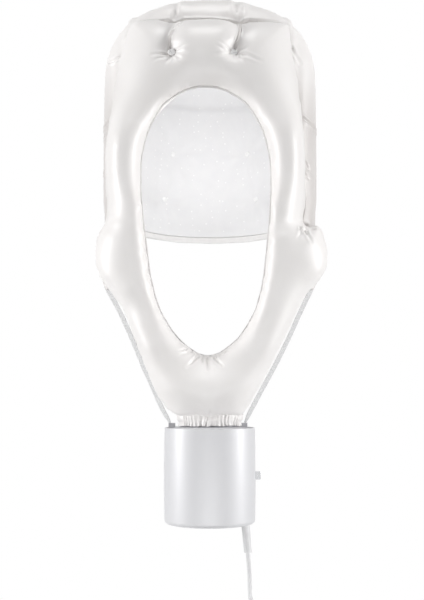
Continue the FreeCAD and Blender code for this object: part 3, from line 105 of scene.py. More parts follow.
route = [(44.67, AXIS_Y, -666.9), (46.24, AXIS_Y, -686.8), (46.67, AXIS_Y, -700.9), (46.67, AXIS_Y, -724.2)]
steps = round((END_TURN - START_TURN) / 360 * STEPS_PER_TURN)
for step in range(steps + 1):
    turn = START_TURN + (END_TURN - START_TURN) * step / steps
    share = TURNS * (turn - START_TURN) / (END_TURN - START_TURN)
    lap = min(int(share), TURNS - 1)
    part = share - lap
    radius = SPLINE_SHRINK * (COIL_RADII[lap] * (1 - part) + COIL_RADII[lap + 1] * part)
    row = COIL_ROWS[lap] * (1 - part) + COIL_ROWS[lap + 1] * part
    across = math.sin(math.radians(turn)) * radius
    over = math.cos(math.radians(turn)) * radius
    route.append((COIL_CENTRE[0] + across, AXIS_Y + row, COIL_CENTRE[1] + over))
route += [(77.67, AXIS_Y, -782.0), (77.67, AXIS_Y, -797.0)]
print("cord route points:", len(route))

# %% Make the cord
cord_curve = bpy.data.curves.new("mains_cord", "CURVE")
cord_curve.dimensions = "3D"
spline = cord_curve.splines.new("NURBS")
spline.points.add(len(route) - 1)
for point, place in zip(spline.points, route):
    point.co = (*mm(*place), 1)
    point.radius = mm(CORD_RADIUS)
spline.order_u = 3
spline.use_endpoint_u = True
spline.resolution_u = 4
cord_curve.bevel_depth = 1.0
cord_curve.bevel_resolution = 4
cord_curve.use_fill_caps = True
mains_cord = put_in_scene("mains_cord", cord_curve)
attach(mains_cord, "dryer")
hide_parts("cord", "cord_coil")

# %% [markdown]
# ## Light and floor
# The product was shot in plain soft light on white. Two softboxes stand left and
# right of the front, so that the pillows are bright on both flanks and keep a soft
# grey band in the middle. A third one lies above and a weak one below the camera,
# for the funnel's underside. A fifth one stands behind for views of the back, and
# neither the camera nor a reflection sees it, so the front keeps its look. The world
# gives the rest. The camera, reflections and clear parts see pure white, without
# more light on the hood.

# %% Helpers for nodes and colours
def linear(text):
    """An sRGB hex colour as linear RGBA, which is what the shader sockets take."""
    channels = [int(text[index:index + 2], 16) / 255 for index in (1, 3, 5)]
    return [value / 12.92 if value <= 0.04045 else ((value + 0.055) / 1.055) ** 2.4
            for value in channels] + [1]


def add(tree, kind, settings=None, links=None):
    """Add a node. Settings name its own properties or its sockets, links name sockets and sources."""
    node = tree.nodes.new(kind)
    for name, value in (settings or {}).items():
        if isinstance(name, str) and hasattr(node, name):
            setattr(node, name, value)
        else:
            node.inputs[name].default_value = value
    for name, source in (links or {}).items():
        tree.links.new(source, node.inputs[name])
    return node


# %% World
AMBIENT = 0.09
world = bpy.data.worlds.new("studio")
scene.world = world
world.use_nodes = True
tree = world.node_tree
tree.nodes.clear()
path = add(tree, "ShaderNodeLightPath")
seen = add(tree, "ShaderNodeMath", {"operation": "MAXIMUM"},
           {0: path.outputs["Is Camera Ray"], 1: path.outputs["Is Glossy Ray"]})
clear = add(tree, "ShaderNodeMath", {"operation": "MAXIMUM"},
            {0: seen.outputs[0], 1: path.outputs["Is Transmission Ray"]})
dim = add(tree, "ShaderNodeBackground", {"Color": (1, 1, 1, 1), "Strength": AMBIENT})
white = add(tree, "ShaderNodeBackground", {"Color": (1, 1, 1, 1), "Strength": 1.0})
mixed = add(tree, "ShaderNodeMixShader", {}, {0: clear.outputs[0], 1: dim.outputs[0], 2: white.outputs[0]})
add(tree, "ShaderNodeOutputWorld", {}, {"Surface": mixed.outputs[0]})
scene.view_settings.view_transform = "Standard"
print("ambient strength:", AMBIENT)


# %% Softboxes
def softbox(name, place, aim, wide, tall, watts):
    """A soft lamp of this width and height in metres that shines from its place to its aim."""
    lamp = bpy.data.lights.new(name, "AREA")
    lamp.shape = "RECTANGLE"
    lamp.size = wide
    lamp.size_y = tall
    lamp.energy = watts
    box = put_in_scene(name, lamp)
    box.location = place
    box.rotation_euler = (Vector(aim) - Vector(place)).to_track_quat("-Z", "Y").to_euler()
    return box


HOOD_MIDDLE = (0, -0.08, -0.28)
FUNNEL_MIDDLE = (0, -0.1, -0.45)
softbox("softbox_left", (-1.60, -0.51, -0.20), HOOD_MIDDLE, 0.5, 1.0, 19.8)
softbox("softbox_right", (1.60, -0.51, -0.20), HOOD_MIDDLE, 0.5, 1.0, 19.4)
softbox("softbox_top", (0.0, -0.70, 1.36), HOOD_MIDDLE, 0.9, 0.5, 12)
softbox("softbox_low", (0.0, -1.10, -0.87), FUNNEL_MIDDLE, 0.8, 0.3, 3.1)
back_light = softbox("softbox_back", (0.0, 1.7, 0.1), HOOD_MIDDLE, 1.0, 0.8, 9)
back_light.visible_camera = False
back_light.visible_glossy = False
print("softboxes: 5")

# %% [markdown]
# White cloth lets much light through, so the inside of the hood is as bright as the
# outside. The cloth here is opaque, so a weak lamp behind the face opening, which
# shines only backwards and isn't seen itself, stands for that light.

# %% Light inside the hood
inner_light = softbox("hood_glow", (0.0, -0.066, -0.18), (0.0, 0.1, -0.13), 0.16, 0.2, 0.175)
inner_light.visible_camera = False
inner_light.visible_glossy = False
print("hood glow:", inner_light.data.energy, "W")

# %% [markdown]
# The hood hangs as on its wearer, with the coil under it. The floor lies just below
# the coil, outside the picture. It is a wide disc that keeps the object's shadow and
# turns to plain white before its edge, so that it has no visible end.

# %% Floor
FLOOR_LEVEL = -0.905
FLOOR_RADIUS = 0.66
FADE_FROM = 0.36
FADE_TO = 0.62


def piece_from(made, name):
    """A new object from a bmesh, which is freed."""
    mesh = bpy.data.meshes.new(name)
    made.to_mesh(mesh)
    made.free()
    return put_in_scene(name, mesh)


made = bmesh.new()
bmesh.ops.create_circle(made, cap_ends=True, segments=96, radius=FLOOR_RADIUS,
                        matrix=Matrix.Translation((0, 0, FLOOR_LEVEL)))
floor = piece_from(made, "floor")
paper = bpy.data.materials.new("studio_paper")
paper.use_nodes = True
tree = paper.node_tree
shader = tree.nodes["Principled BSDF"]
shader.inputs["Base Color"].default_value = linear("#F2F2F2")
shader.inputs["Roughness"].default_value = 0.9
place = add(tree, "ShaderNodeTexCoord")
level = add(tree, "ShaderNodeVectorMath", {"operation": "MULTIPLY", 1: (1, 1, 0)},
            {0: place.outputs["Object"]})
far = add(tree, "ShaderNodeVectorMath", {"operation": "LENGTH"}, {0: level.outputs["Vector"]})
fade = add(tree, "ShaderNodeMapRange", {"From Min": FADE_FROM, "From Max": FADE_TO},
           {"Value": far.outputs["Value"]})
path = add(tree, "ShaderNodeLightPath")
seen = add(tree, "ShaderNodeMath", {"operation": "MAXIMUM"},
           {0: path.outputs["Is Camera Ray"], 1: path.outputs["Is Glossy Ray"]})
share = add(tree, "ShaderNodeMath", {"operation": "MULTIPLY"}, {0: seen.outputs[0], 1: fade.outputs[0]})
glow = add(tree, "ShaderNodeEmission", {"Color": (1, 1, 1, 1), "Strength": 1.0})
mixed = add(tree, "ShaderNodeMixShader", {},
            {0: share.outputs[0], 1: shader.outputs[0], 2: glow.outputs[0]})
tree.links.new(mixed.outputs[0], tree.nodes["Material Output"].inputs["Surface"])
floor.data.materials.append(paper)
print("floor at", FLOOR_LEVEL, "m")

# %% [markdown]
# ## Finishes
# Each material starts from what the real surface is. A helper makes a Principled
# material with the settings that are the same all over on the shader's own sockets.
# Patterns read the Object coordinates in millimetres, so that every scale below is a
# real size. A wave texture with a scale of 0.314 repeats once a millimetre.

# %% A material to start from
ONE_BAND = 0.314


def finish(name, colour, roughness, settings=None):
    """A new material. Settings name further sockets of its Principled shader."""
    made = bpy.data.materials.new(name)
    made.use_nodes = True
    shader = made.node_tree.nodes["Principled BSDF"]
    shader.inputs["Base Color"].default_value = linear(colour)
    shader.inputs["Roughness"].default_value = roughness
    for socket, value in (settings or {}).items():
        shader.inputs[socket].default_value = value
    return made


def feed(made, socket, output):
    """Link an output to this socket of the material's shader."""
    made.node_tree.links.new(output, made.node_tree.nodes["Principled BSDF"].inputs[socket])


def in_millimetres(tree):
    """The Object coordinates in millimetres."""
    place = add(tree, "ShaderNodeTexCoord")
    scaled = add(tree, "ShaderNodeVectorMath", {"operation": "SCALE", "Scale": 1000.0},
                 {0: place.outputs["Object"]})
    return scaled.outputs["Vector"]


# %% [markdown]
# Most of the plastics need no more than two things: a colour that drifts a little,
# because no moulding is quite even, and a fine grain in the surface.

# %% Helpers for drifting colour and grain
def mottled(made, dark, light, patch, share=0.5):
    """Colour that drifts softly between two tones in patches of this size in millimetres."""
    tree = made.node_tree
    cloud = add(tree, "ShaderNodeTexNoise", {"Scale": 1 / patch, "Detail": 3.0, "Roughness": share},
                {"Vector": in_millimetres(tree)})
    tone = add(tree, "ShaderNodeMix", {"data_type": "RGBA", 6: linear(dark), 7: linear(light)},
               {0: cloud.outputs["Fac"]})
    feed(made, "Base Color", tone.outputs[2])
    return tone.outputs[2]


def grained(made, grit, height, strength=0.3):
    """A fine moulded grain as bump, with grit and height in millimetres."""
    tree = made.node_tree
    cloud = add(tree, "ShaderNodeTexNoise", {"Scale": 1 / grit, "Detail": 2.0},
                {"Vector": in_millimetres(tree)})
    bump = add(tree, "ShaderNodeBump", {"Strength": strength, "Distance": height / 1000},
               {"Height": cloud.outputs["Fac"]})
    feed(made, "Normal", bump.outputs["Normal"])


def moulded(name, colour, roughness, tones, grain=None, settings=None):
    """A finish with drifting colour, and with a grain if it has one."""
    made = finish(name, colour, roughness, settings)
    mottled(made, *tones)
    if grain:
        grained(made, *grain)
    return made


print("finish helpers ready")

# %% [markdown]
# The hood is a fine white taffeta that holds air: a plain woven polyester, whose
# threads of about 0.25 mm only show as a silky surface. The weave is drawn at 1 mm,
# which is as coarse as it has to be to show. Broad soft patches break the white as
# pressed and refolded cloth does. Round the sides and the back, below the crown, shade
# is painted in: the same cloth is made a shade greyer there.

# %% Taffeta
WEAVE = 1.0
CREASE = 9.0
taffeta = finish("white_taffeta", "#F3F1F0", 0.42, {"Specular IOR Level": 0.7})
white = mottled(taffeta, "#EFECEA", "#F7F5F4", 38)
tree = taffeta.node_tree
spots = in_millimetres(tree)
where = add(tree, "ShaderNodeSeparateXYZ", {}, {0: spots})
behind = add(tree, "ShaderNodeMapRange", {"From Min": -106.0, "From Max": -74.0},
             {"Value": where.outputs["Y"]})
below = add(tree, "ShaderNodeMapRange", {"From Min": -60.0, "From Max": -140.0},
            {"Value": where.outputs["Z"]})
# Painted shade: behind the front chamber and lower down, the cloth's colour is multiplied darker.
painted_shade_mask = add(tree, "ShaderNodeMath", {"operation": "MULTIPLY"}, {0: behind.outputs[0], 1: below.outputs[0]})
shade = add(tree, "ShaderNodeMix", {"data_type": "RGBA", "blend_type": "MULTIPLY", 7: linear("#E2E0DF")},
            {0: painted_shade_mask.outputs[0], 6: white})
feed(taffeta, "Base Color", shade.outputs[2])
threads = [add(tree, "ShaderNodeTexWave", {"bands_direction": way, "Scale": ONE_BAND / WEAVE,
                                           "Distortion": 0.6, "Detail": 1.0}, {"Vector": spots})
           for way in "ZX"]
weave = add(tree, "ShaderNodeMath", {"operation": "MULTIPLY"},
            {index: thread.outputs["Fac"] for index, thread in enumerate(threads)})
creases = add(tree, "ShaderNodeTexNoise", {"Scale": 1 / CREASE, "Detail": 4.0, "Roughness": 0.6},
              {"Vector": spots})
low = add(tree, "ShaderNodeMath", {"operation": "MULTIPLY", 1: 0.05}, {0: weave.outputs[0]})
height = add(tree, "ShaderNodeMath", {"operation": "ADD"}, {0: low.outputs[0], 1: creases.outputs["Fac"]})
bump = add(tree, "ShaderNodeBump", {"Strength": 0.25, "Distance": 0.0006}, {"Height": height.outputs[0]})
feed(taffeta, "Normal", bump.outputs["Normal"])
print("taffeta threads drawn at", WEAVE, "mm")

# %% [markdown]
# The lining is a thin grey nonwoven, punched with small holes through which the warm
# air comes. They are about 9 mm apart, in a net of cells whose points stay near a
# grid, and 1.5 mm wide with a soft edge. Each hole is painted as a pale dot: painted
# light, for the light that would come through it from behind.

# %% Lining
HOLE_PITCH = 9.0
HOLE_RADIUS = 0.75
HOLE_EDGE = 1.9 * HOLE_RADIUS
lining = finish("punched_nonwoven", "#F0F0F1", 0.85, {"Sheen Weight": 0.1})
tree = lining.node_tree
spots = in_millimetres(tree)
holes = add(tree, "ShaderNodeTexVoronoi", {"Scale": 1 / HOLE_PITCH, "Randomness": 0.55}, {"Vector": spots})
edge = add(tree, "ShaderNodeMapRange",
           {"From Min": HOLE_RADIUS / HOLE_PITCH, "From Max": HOLE_EDGE / HOLE_PITCH,
            "To Min": 1.0, "To Max": 0.0}, {"Value": holes.outputs["Distance"]})
fibres = add(tree, "ShaderNodeTexNoise", {"Scale": 1 / 14.0, "Detail": 5.0, "Roughness": 0.65},
             {"Vector": spots})
cloth = add(tree, "ShaderNodeMix", {"data_type": "RGBA", 6: linear("#EBEBED"), 7: linear("#F3F3F3")},
            {0: fibres.outputs["Fac"]})
# Painted light: each hole is a white dot in the colour, for the light that shines through it.
painted_light_dots = add(tree, "ShaderNodeMix", {"data_type": "RGBA", 7: linear("#FFFFFF")},
           {0: edge.outputs[0], 6: cloth.outputs[2]})
feed(lining, "Base Color", painted_light_dots.outputs[2])
fuzz = add(tree, "ShaderNodeTexNoise", {"Scale": 1 / 1.2, "Detail": 3.0}, {"Vector": spots})
bump = add(tree, "ShaderNodeBump", {"Strength": 0.2, "Distance": 0.0002}, {"Height": fuzz.outputs["Fac"]})
feed(lining, "Normal", bump.outputs["Normal"])
print("lining holes:", HOLE_PITCH, "mm apart")

# %% [markdown]
# The straps are knitted elastic, 10 mm wide. Its ribs lie across the strap and its
# rubber threads show as a grey speckle about 1 mm across. The hem's binding is a woven
# tape in the colour of the hood. The face opening's is the same tape, painted a shade
# greyer: painted shade, for the shade in the crease between it and the cloth. Both have a
# thread that shows as a fine rib. Where two layers are welded, the cloth is pressed to
# a smooth white film.

# %% Elastic and tape
ELASTIC_RIB = 1.6
elastic = finish("knitted_elastic", "#D8D8D8", 0.8, {"Sheen Weight": 0.15})
tree = elastic.node_tree
spots = in_millimetres(tree)
speckle = add(tree, "ShaderNodeTexNoise", {"Scale": 1 / 1.3, "Detail": 2.0, "Roughness": 0.7},
              {"Vector": spots})
tones = add(tree, "ShaderNodeMapRange", {"From Min": 0.42, "From Max": 0.60},
            {"Value": speckle.outputs["Fac"]})
yarn = add(tree, "ShaderNodeMix", {"data_type": "RGBA", 6: linear("#CDCDCE"), 7: linear("#E8E8E8")},
           {0: tones.outputs[0]})
feed(elastic, "Base Color", yarn.outputs[2])
ribs = add(tree, "ShaderNodeTexWave", {"bands_direction": "Z", "Scale": ONE_BAND / ELASTIC_RIB,
                                       "Distortion": 0.4}, {"Vector": spots})
both = add(tree, "ShaderNodeMath", {"operation": "ADD"},
           {0: ribs.outputs["Fac"], 1: speckle.outputs["Fac"]})
bump = add(tree, "ShaderNodeBump", {"Strength": 0.5, "Distance": 0.0003}, {"Height": both.outputs[0]})
feed(elastic, "Normal", bump.outputs["Normal"])

tape = moulded("woven_tape", "#EAE9E8", 0.6, ("#E4E3E2", "#F0EFEE", 6), None, {"Sheen Weight": 0.15})
# Painted shade: the face opening's tape is made greyer for the shade that falls in the crease beside it.
painted_shade_tape = moulded("grey_woven_tape", "#DFDDDC", 0.6, ("#D6D4D3", "#E8E6E5", 6), None,
                    {"Sheen Weight": 0.15})
for made in (tape, painted_shade_tape):
    tree = made.node_tree
    ribs = add(tree, "ShaderNodeTexWave", {"bands_direction": "DIAGONAL", "Scale": ONE_BAND,
                                           "Distortion": 0.5}, {"Vector": in_millimetres(tree)})
    bump = add(tree, "ShaderNodeBump", {"Strength": 0.3, "Distance": 0.0002},
               {"Height": ribs.outputs["Fac"]})
    feed(made, "Normal", bump.outputs["Normal"])

film = moulded("welded_film", "#FCFCFC", 0.25, ("#F8F8F8", "#FFFFFF", 2), None, {"Specular IOR Level": 0.5})
print("elastic, tape and film ready")

# %% [markdown]
# The dryer unit is injection moulded ABS with a pearl lacquer: a pale silver whose
# flakes, about 0.1 mm, show as a soft glow rather than as glitter. They are drawn at
# 0.5 mm. The lacquer is satin, so the lamps show as soft bright bands on both flanks.
# The deck and the grilles are plain ABS with a moulded grain. The duct and the motor's
# mount are a glass filled polyamide, which is dull, and the impeller is a smooth
# acetal. The board's parts are cast in epoxy and the ion module in a white resin.

# %% Plastics
pearl = moulded("pearl_abs", "#DADADC", 0.42, ("#D5D5D8", "#DFDFE1", 0.5, 0.7), (0.8, 0.02, 0.15),
                {"Metallic": 0.1})
deck_abs = moulded("matt_grey_abs", "#D8D8DC", 0.45, ("#D2D2D6", "#DEDEE2", 8), (0.6, 0.03))
grille_abs = moulded("grey_abs", "#9B9DA1", 0.5, ("#94969A", "#A3A5A9", 6), (0.6, 0.04))
black_polyamide = moulded("black_glass_filled_polyamide", "#2B2B2D", 0.55, ("#252527", "#343436", 5),
                          (0.9, 0.05, 0.5))
fan_acetal = moulded("black_acetal", "#1E1E20", 0.3, ("#19191B", "#28282A", 7), (1.2, 0.02))
white_polyamide = moulded("white_polyamide", "#E7E4DA", 0.5, ("#E0DCD0", "#EFECE4", 5), (0.8, 0.03))
filter_frame = moulded("grey_polypropylene", "#55585D", 0.5, ("#4E5156", "#5E6166", 5), (0.8, 0.03))
epoxy = moulded("black_epoxy", "#242426", 0.4, ("#1D1D1F", "#303032", 3), (0.5, 0.03))
potting = moulded("white_potting_resin", "#E9E9E4", 0.35, ("#E2E2DC", "#F0F0EC", 6), (3.0, 0.05))
print("plastics ready")

# %% [markdown]
# Cord, relief and plug are soft PVC. It has a waxy look with a fine matt grain, and
# the cord is a touch greyer than the plug. The tie is a dark ribbed PVC strip.

# %% Soft PVC
cord_pvc = moulded("cord_pvc", "#E2E2E3", 0.42, ("#DBDBDC", "#E9E9EA", 12), (0.9, 0.03))
relief_pvc = moulded("relief_pvc", "#E4E4E5", 0.5, ("#DEDEDF", "#EAEAEB", 9), (0.7, 0.04))
plug_pvc = moulded("plug_pvc", "#E8E8E8", 0.45, ("#E2E2E2", "#EEEEEE", 10), (0.8, 0.05))
tie_pvc = moulded("dark_tie_strip", "#3A3A3C", 0.55, ("#333335", "#454547", 3), (1.5, 0.1, 0.6))
print("soft PVC ready")

# %% [markdown]
# Metals keep the default IOR. Rolled and drawn metals, such as the can, the wires and
# the pins, show fine streaks. The chrome on the switch knob is nearly a mirror, and
# the sintered bushes are dull and porous.

# %% Metals
METAL = {"Metallic": 1.0}


def drawn_metal(name, colour, roughness, dark, light, wide, long):
    """A metal with fine streaks along Z, as drawing and rolling leave them, in millimetres."""
    made = finish(name, colour, roughness, METAL)
    tree = made.node_tree
    stretched = add(tree, "ShaderNodeVectorMath",
                    {"operation": "MULTIPLY", 1: (1 / wide, 1 / wide, 1 / long)}, {0: in_millimetres(tree)})
    lines = add(tree, "ShaderNodeTexNoise", {"Scale": 1.0, "Detail": 3.0},
                {"Vector": stretched.outputs["Vector"]})
    tone = add(tree, "ShaderNodeMix", {"data_type": "RGBA", 6: linear(dark), 7: linear(light)},
               {0: lines.outputs["Fac"]})
    feed(made, "Base Color", tone.outputs[2])
    bump = add(tree, "ShaderNodeBump", {"Strength": 0.2, "Distance": 0.00002},
               {"Height": lines.outputs["Fac"]})
    feed(made, "Normal", bump.outputs["Normal"])
    return made


zinc_steel = drawn_metal("zinc_plated_steel", "#C4C7CB", 0.3, "#B9BCC0", "#D0D3D7", 0.3, 4)
can_steel = drawn_metal("drawn_steel", "#B9BABC", 0.35, "#ACADAF", "#C6C7C9", 0.4, 12)
copper = drawn_metal("enamelled_copper", "#9C5A34", 0.3, "#7E4425", "#B36C42", 8, 0.5)
nichrome = drawn_metal("nichrome_wire", "#8E857C", 0.35, "#7D746B", "#A0978E", 0.4, 3)
nickel = drawn_metal("nickel_plated_brass", "#D3CFC4", 0.2, "#C8C4B8", "#DDD9CF", 0.3, 6)
chrome = moulded("chrome_plate", "#CFD0D2", 0.08, ("#C9CACC", "#D6D7D9", 4), None, METAL)
bronze = moulded("sintered_bronze", "#A9793F", 0.5, ("#98692F", "#BA8A4E", 0.6), (0.5, 0.05, 0.5), METAL)
print("metals ready")

# %% [markdown]
# Ferrite is a dark ceramic with a dull, gritty surface, and mica shows its pale
# flakes. The circuit board is a green laminate under a thin clear varnish. The lint
# filter's mesh is far too fine to draw, so its two greys alternate every 0.9 mm.

# %% Minerals, board and mesh
ferrite = moulded("ferrite", "#39393B", 0.6, ("#303032", "#444446", 1.5), (0.6, 0.05, 0.5))
mica = moulded("mica_board", "#B9A77E", 0.35, ("#A39066", "#CDBD96", 1.8, 0.7), (2.5, 0.06, 0.4),
               {"Specular IOR Level": 0.6})
laminate = moulded("board_laminate", "#2D6A3F", 0.35, ("#26603A", "#377A4B", 2.2), (1.0, 0.03),
                   {"Coat Weight": 0.4, "Coat Roughness": 0.2})
MESH_PITCH = 0.9
mesh_nylon = finish("nylon_mesh", "#6A6D72", 0.7)
tree = mesh_nylon.node_tree
grid = add(tree, "ShaderNodeTexChecker",
           {"Scale": 1 / MESH_PITCH, "Color1": linear("#5A5D62"), "Color2": linear("#7D8085")},
           {"Vector": in_millimetres(tree)})
feed(mesh_nylon, "Base Color", grid.outputs["Color"])
print("minerals, board and mesh ready")

# %% [markdown]
# The CAD nodes whose shape is right stay, and get their finish by slot. A soft node
# that is replaced further down gets one too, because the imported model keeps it.

# %% Finishes on the CAD nodes
NODE_FINISH = {
    taffeta: ["bonnet_front_chamber", "bonnet_rear_chamber", "bonnet_cuff", "strap_anchor_left",
              "strap_anchor_right"],
    lining: ["bonnet_liner"],
    painted_shade_tape: ["face_edge_binding"],
    tape: ["hem_binding"],
    elastic: ["cuff_elastic", "strap_left", "strap_right"],
    film: ["weld_discs"],
    deck_abs: ["top_deck", "strap_tab_left", "strap_tab_right"],
    pearl: ["front_shell", "rear_shell"],
    grille_abs: ["outlet_guard", "intake_grille"],
    filter_frame: ["filter_frame"],
    mesh_nylon: ["filter_mesh"],
    black_polyamide: ["air_duct", "motor_mount", "motor_end_cap", "switch_body"],
    fan_acetal: ["impeller"],
    mica: ["mica_sleeve", "heater_former"],
    nichrome: ["heater_winding"],
    zinc_steel: ["housing_screws", "ion_needle", "motor_shaft", "thermostat", "thermal_fuse"],
    can_steel: ["motor_can"],
    bronze: ["motor_bushes"],
    ferrite: ["motor_magnets"],
    copper: ["armature"],
    laminate: ["circuit_board"],
    epoxy: ["board_parts"],
    potting: ["ion_module"],
    white_polyamide: ["needle_bush", "terminal_block", "cord_clamp"],
    chrome: ["switch_knob"],
    cord_pvc: ["cord", "cord_coil", "cord_inner_end"],
    relief_pvc: ["strain_relief", "plug_relief"],
    plug_pvc: ["plug_body"],
    tie_pvc: ["cord_tie"],
    nickel: ["plug_pins"],
}
dressed = 0
for made, nodes in NODE_FINISH.items():
    for node in nodes:
        part = bpy.data.objects[node]
        if not part.material_slots:
            part.data.materials.append(made)
        for slot in part.material_slots:
            slot.material = made
        dressed += 1
cord_curve.materials.append(cord_pvc)
print("CAD nodes dressed:", dressed, "of", len(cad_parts))

# %% [markdown]
# ## The front chamber
# The front of the hood is a ring of fabric, blown up by the warm air: a brow, two
# cheeks, two side lobes and a funnel. It is sewn from two equal panels, so it starts
# here as a pattern: a flat curve with a hole for the face, as a seamstress would cut
# it. The panels are filled to a lens between their seams, the brow's two welds and
# darts are drawn in, and a cloth simulation with air pressure gives the tension.

# %% The cut of the front panel
FRONT_CUT = [
    (-98.5, -26.5), (-86.7, -23.8), (-61.9, -23.8), (-47, -28), (-33, -25), (-12.3, -24.4), (18.7, -25),
    (35, -30), (50, -26.6), (62.1, -26), (86.9, -26), (99.5, -28),
    (102.0, -62.6), (106.5, -85), (109.6, -109.2), (113.6, -145.4), (116.5, -185.5), (116.4, -221.2),
    (115.0, -262.7), (111.5, -279),
    (121, -281), (129, -278), (135, -284), (139, -295), (142.5, -307), (143.5, -318), (141.5, -331),
    (137, -341), (129, -350.5), (119, -361), (107.8, -379.5), (97.5, -401.3), (87.5, -421.8), (72, -452.5),
    (60.7, -473.2), (50.5, -490.5), (43, -503.5),
    (37.1, -508.2), (16.6, -510.5), (2.6, -511.2), (-14, -511.2), (-38, -508.2), (-48.3, -503.2),
    (-56.5, -494), (-63.5, -483.5), (-77.9, -450.2), (-88.8, -422.8), (-96.8, -402.4), (-104.3, -383.1),
    (-114.1, -369.2), (-122.6, -358.2), (-132, -344.5), (-138, -328), (-139.2, -313), (-137.8, -298),
    (-133, -286), (-127.5, -278), (-125.8, -266), (-126.0, -244.9), (-127.0, -185.5), (-122.7, -147.4),
    (-118.2, -109.2), (-110.7, -68.7),
]
FACE_CUT = [
    (-5.7, -105.6), (37.2, -120.7), (56.9, -144.8), (71.5, -186), (74.6, -225), (73.6, -254.6),
    (69.3, -304), (62, -357.5), (49, -394), (21, -427.5), (-2, -437), (-25, -427.5), (-53.6, -394),
    (-68, -357.5), (-76.9, -304), (-82.6, -254.6), (-84.2, -225), (-81.9, -186), (-67.5, -144.8),
    (-48, -120.7),
]
SHARP = {(-98.5, -26.5), (99.5, -28), (-47, -28), (35, -30), (111.5, -279), (43, -503.5), (-48.3, -503.2)}


def add_loop(cut, points, sharp=()):
    """Add a closed loop through these points to a curve, smooth except at the sharp ones."""
    loop = cut.splines.new("BEZIER")
    loop.bezier_points.add(len(points) - 1)
    for knot, place in zip(loop.bezier_points, points):
        knot.co = mm(*place, 0)
        kind = "VECTOR" if place in sharp else "AUTO"
        knot.handle_left_type = kind
        knot.handle_right_type = kind
    loop.use_cyclic_u = True
    loop.resolution_u = 12


def outline(points, sharp, name):
    """A flat curve with one loop of the front view."""
    cut = bpy.data.curves.new(name, "CURVE")
    cut.dimensions = "2D"
    add_loop(cut, points, sharp)
    return cut


def as_mesh(curve):
    """The curve's mesh, stood up so that the flat pattern lies in the XZ plane of the front view."""
    holder = put_in_scene(curve.name, curve)
    bpy.context.view_layer.update()
    flat = bpy.data.meshes.new_from_object(holder.evaluated_get(bpy.context.evaluated_depsgraph_get()))
    bpy.data.objects.remove(holder)
    flat.transform(Matrix.Translation(mm(0, AXIS_Y, 0)) @ Matrix.Rotation(math.radians(90), 4, "X"))
    return flat


def samples(points, sharp, name):
    """Many places along an outline in millimetres of the front view."""
    cut = outline(points, sharp, name)
    cut.fill_mode = "NONE"
    return [(1000 * vertex.co.x, 1000 * vertex.co.z) for vertex in as_mesh(cut).vertices]


def search_tree(places):
    """A tree that finds the nearest of these places."""
    tree = KDTree(len(places))
    for index, (x, z) in enumerate(places):
        tree.insert((x, z, 0), index)
    tree.balance()
    return tree


FOOT_SEAM = -500
front_places = samples(FRONT_CUT, SHARP, "front_seam")
face_places = samples(FACE_CUT, (), "face_seam")
front_seam = search_tree(front_places)
face_seam = search_tree(face_places)
side_seam = search_tree([place for place in front_places if place[1] > FOOT_SEAM])
print("outline samples:", len(front_places), len(face_places))

# %% Fill the pattern
START_THICK = 9
VOXEL = 3.6
MERGE = 0.05
pattern = outline(FRONT_CUT, SHARP, "front_pattern")
add_loop(pattern, FACE_CUT)
pattern.fill_mode = "BOTH"
pattern.extrude = mm(START_THICK / 2)
made = bmesh.new()
made.from_mesh(as_mesh(pattern))
bmesh.ops.remove_doubles(made, verts=made.verts, dist=mm(MERGE))
bmesh.ops.recalc_face_normals(made, faces=made.faces)
front_pillow = piece_from(made, "front_pillow")


def settle(piece):
    """Apply the piece's modifiers, so that its mesh is what they made."""
    bpy.context.view_layer.update()
    made = bpy.data.meshes.new_from_object(piece.evaluated_get(bpy.context.evaluated_depsgraph_get()))
    piece.modifiers.clear()
    old = piece.data
    piece.data = made
    bpy.data.meshes.remove(old)
    made.name = piece.name


def revoxel(piece, voxel):
    """Give the piece an even mesh of this spacing in millimetres."""
    remesh = piece.modifiers.new("cloth_mesh", "REMESH")
    remesh.mode = "VOXEL"
    remesh.voxel_size = mm(voxel)
    settle(piece)


revoxel(front_pillow, VOXEL)
print("front panels:", len(front_pillow.data.vertices), "points")

# %% [markdown]
# Between its seams the ring is a lens: with u from 0 at one seam to 1 at the other it
# is 2·sqrt(u·(1 - u)) of the full thickness. Its crest lies nearer to the outer seam
# along the lobes, and nearer to the face at the funnel's foot. Round the head the
# outer seam joins the rear cushion and so lies further back than the face's edge, and
# down the funnel it comes forward to the dryer's axis. The foot stays full round the
# dryer's collar. The outline was read at the axis, so a seam that lies further back
# is moved out along the camera's rays. The welds on the brow hold both panels
# together, and a dart runs from each up to the top seam.

# %% Fill the ring between its seams
FRONT_FACE = -130.5
BACK_FACE = -73.5
SEAM_BACK = -75.5
CREST = [(-215, 0.9), (-262, 0.56), (-375, 0.6), (-428, 0.95), (-485, 1.35)]
BROW_WELDS = [(-46.0, -72.0), (29.0, -72.5)]
TUFTS = [(-46.5, -67.5), (29.5, -68.0)]
DARTS = [((-39.5, -26.8), (-42.7, -36.7), (-46.6, -47.5), (-48.8, -58.7), (-48.7, -67.9), (-46.0, -71.2)),
         ((37.7, -29.3), (36.8, -43.0), (34.7, -52.9), (32.2, -61.2), (29.2, -71.9))]
SIDE_WELD = (112.5, -291.5)
FACE_FOOT = (0, -437)
FULL_WIDTH = 24
BROW_BOW = 22
FUNNEL_SWELL = 9
FUNNEL_CREST = -475
CORNER_ROUNDING = 0.32


def near(tree, x, z):
    """Distance in millimetres from a place of the front view to the nearest one in the tree."""
    return tree.find((x, z, 0))[2]


def to_run(x, z, start, end):
    """Distance of a place to a straight run, and how far along the run it is, from 0 to 1."""
    along = (end[0] - start[0], end[1] - start[1])
    long = along[0] ** 2 + along[1] ** 2
    share = max(0.0, min(1.0, ((x - start[0]) * along[0] + (z - start[1]) * along[1]) / long))
    return math.hypot(x - start[0] - share * along[0], z - start[1] - share * along[1]), share


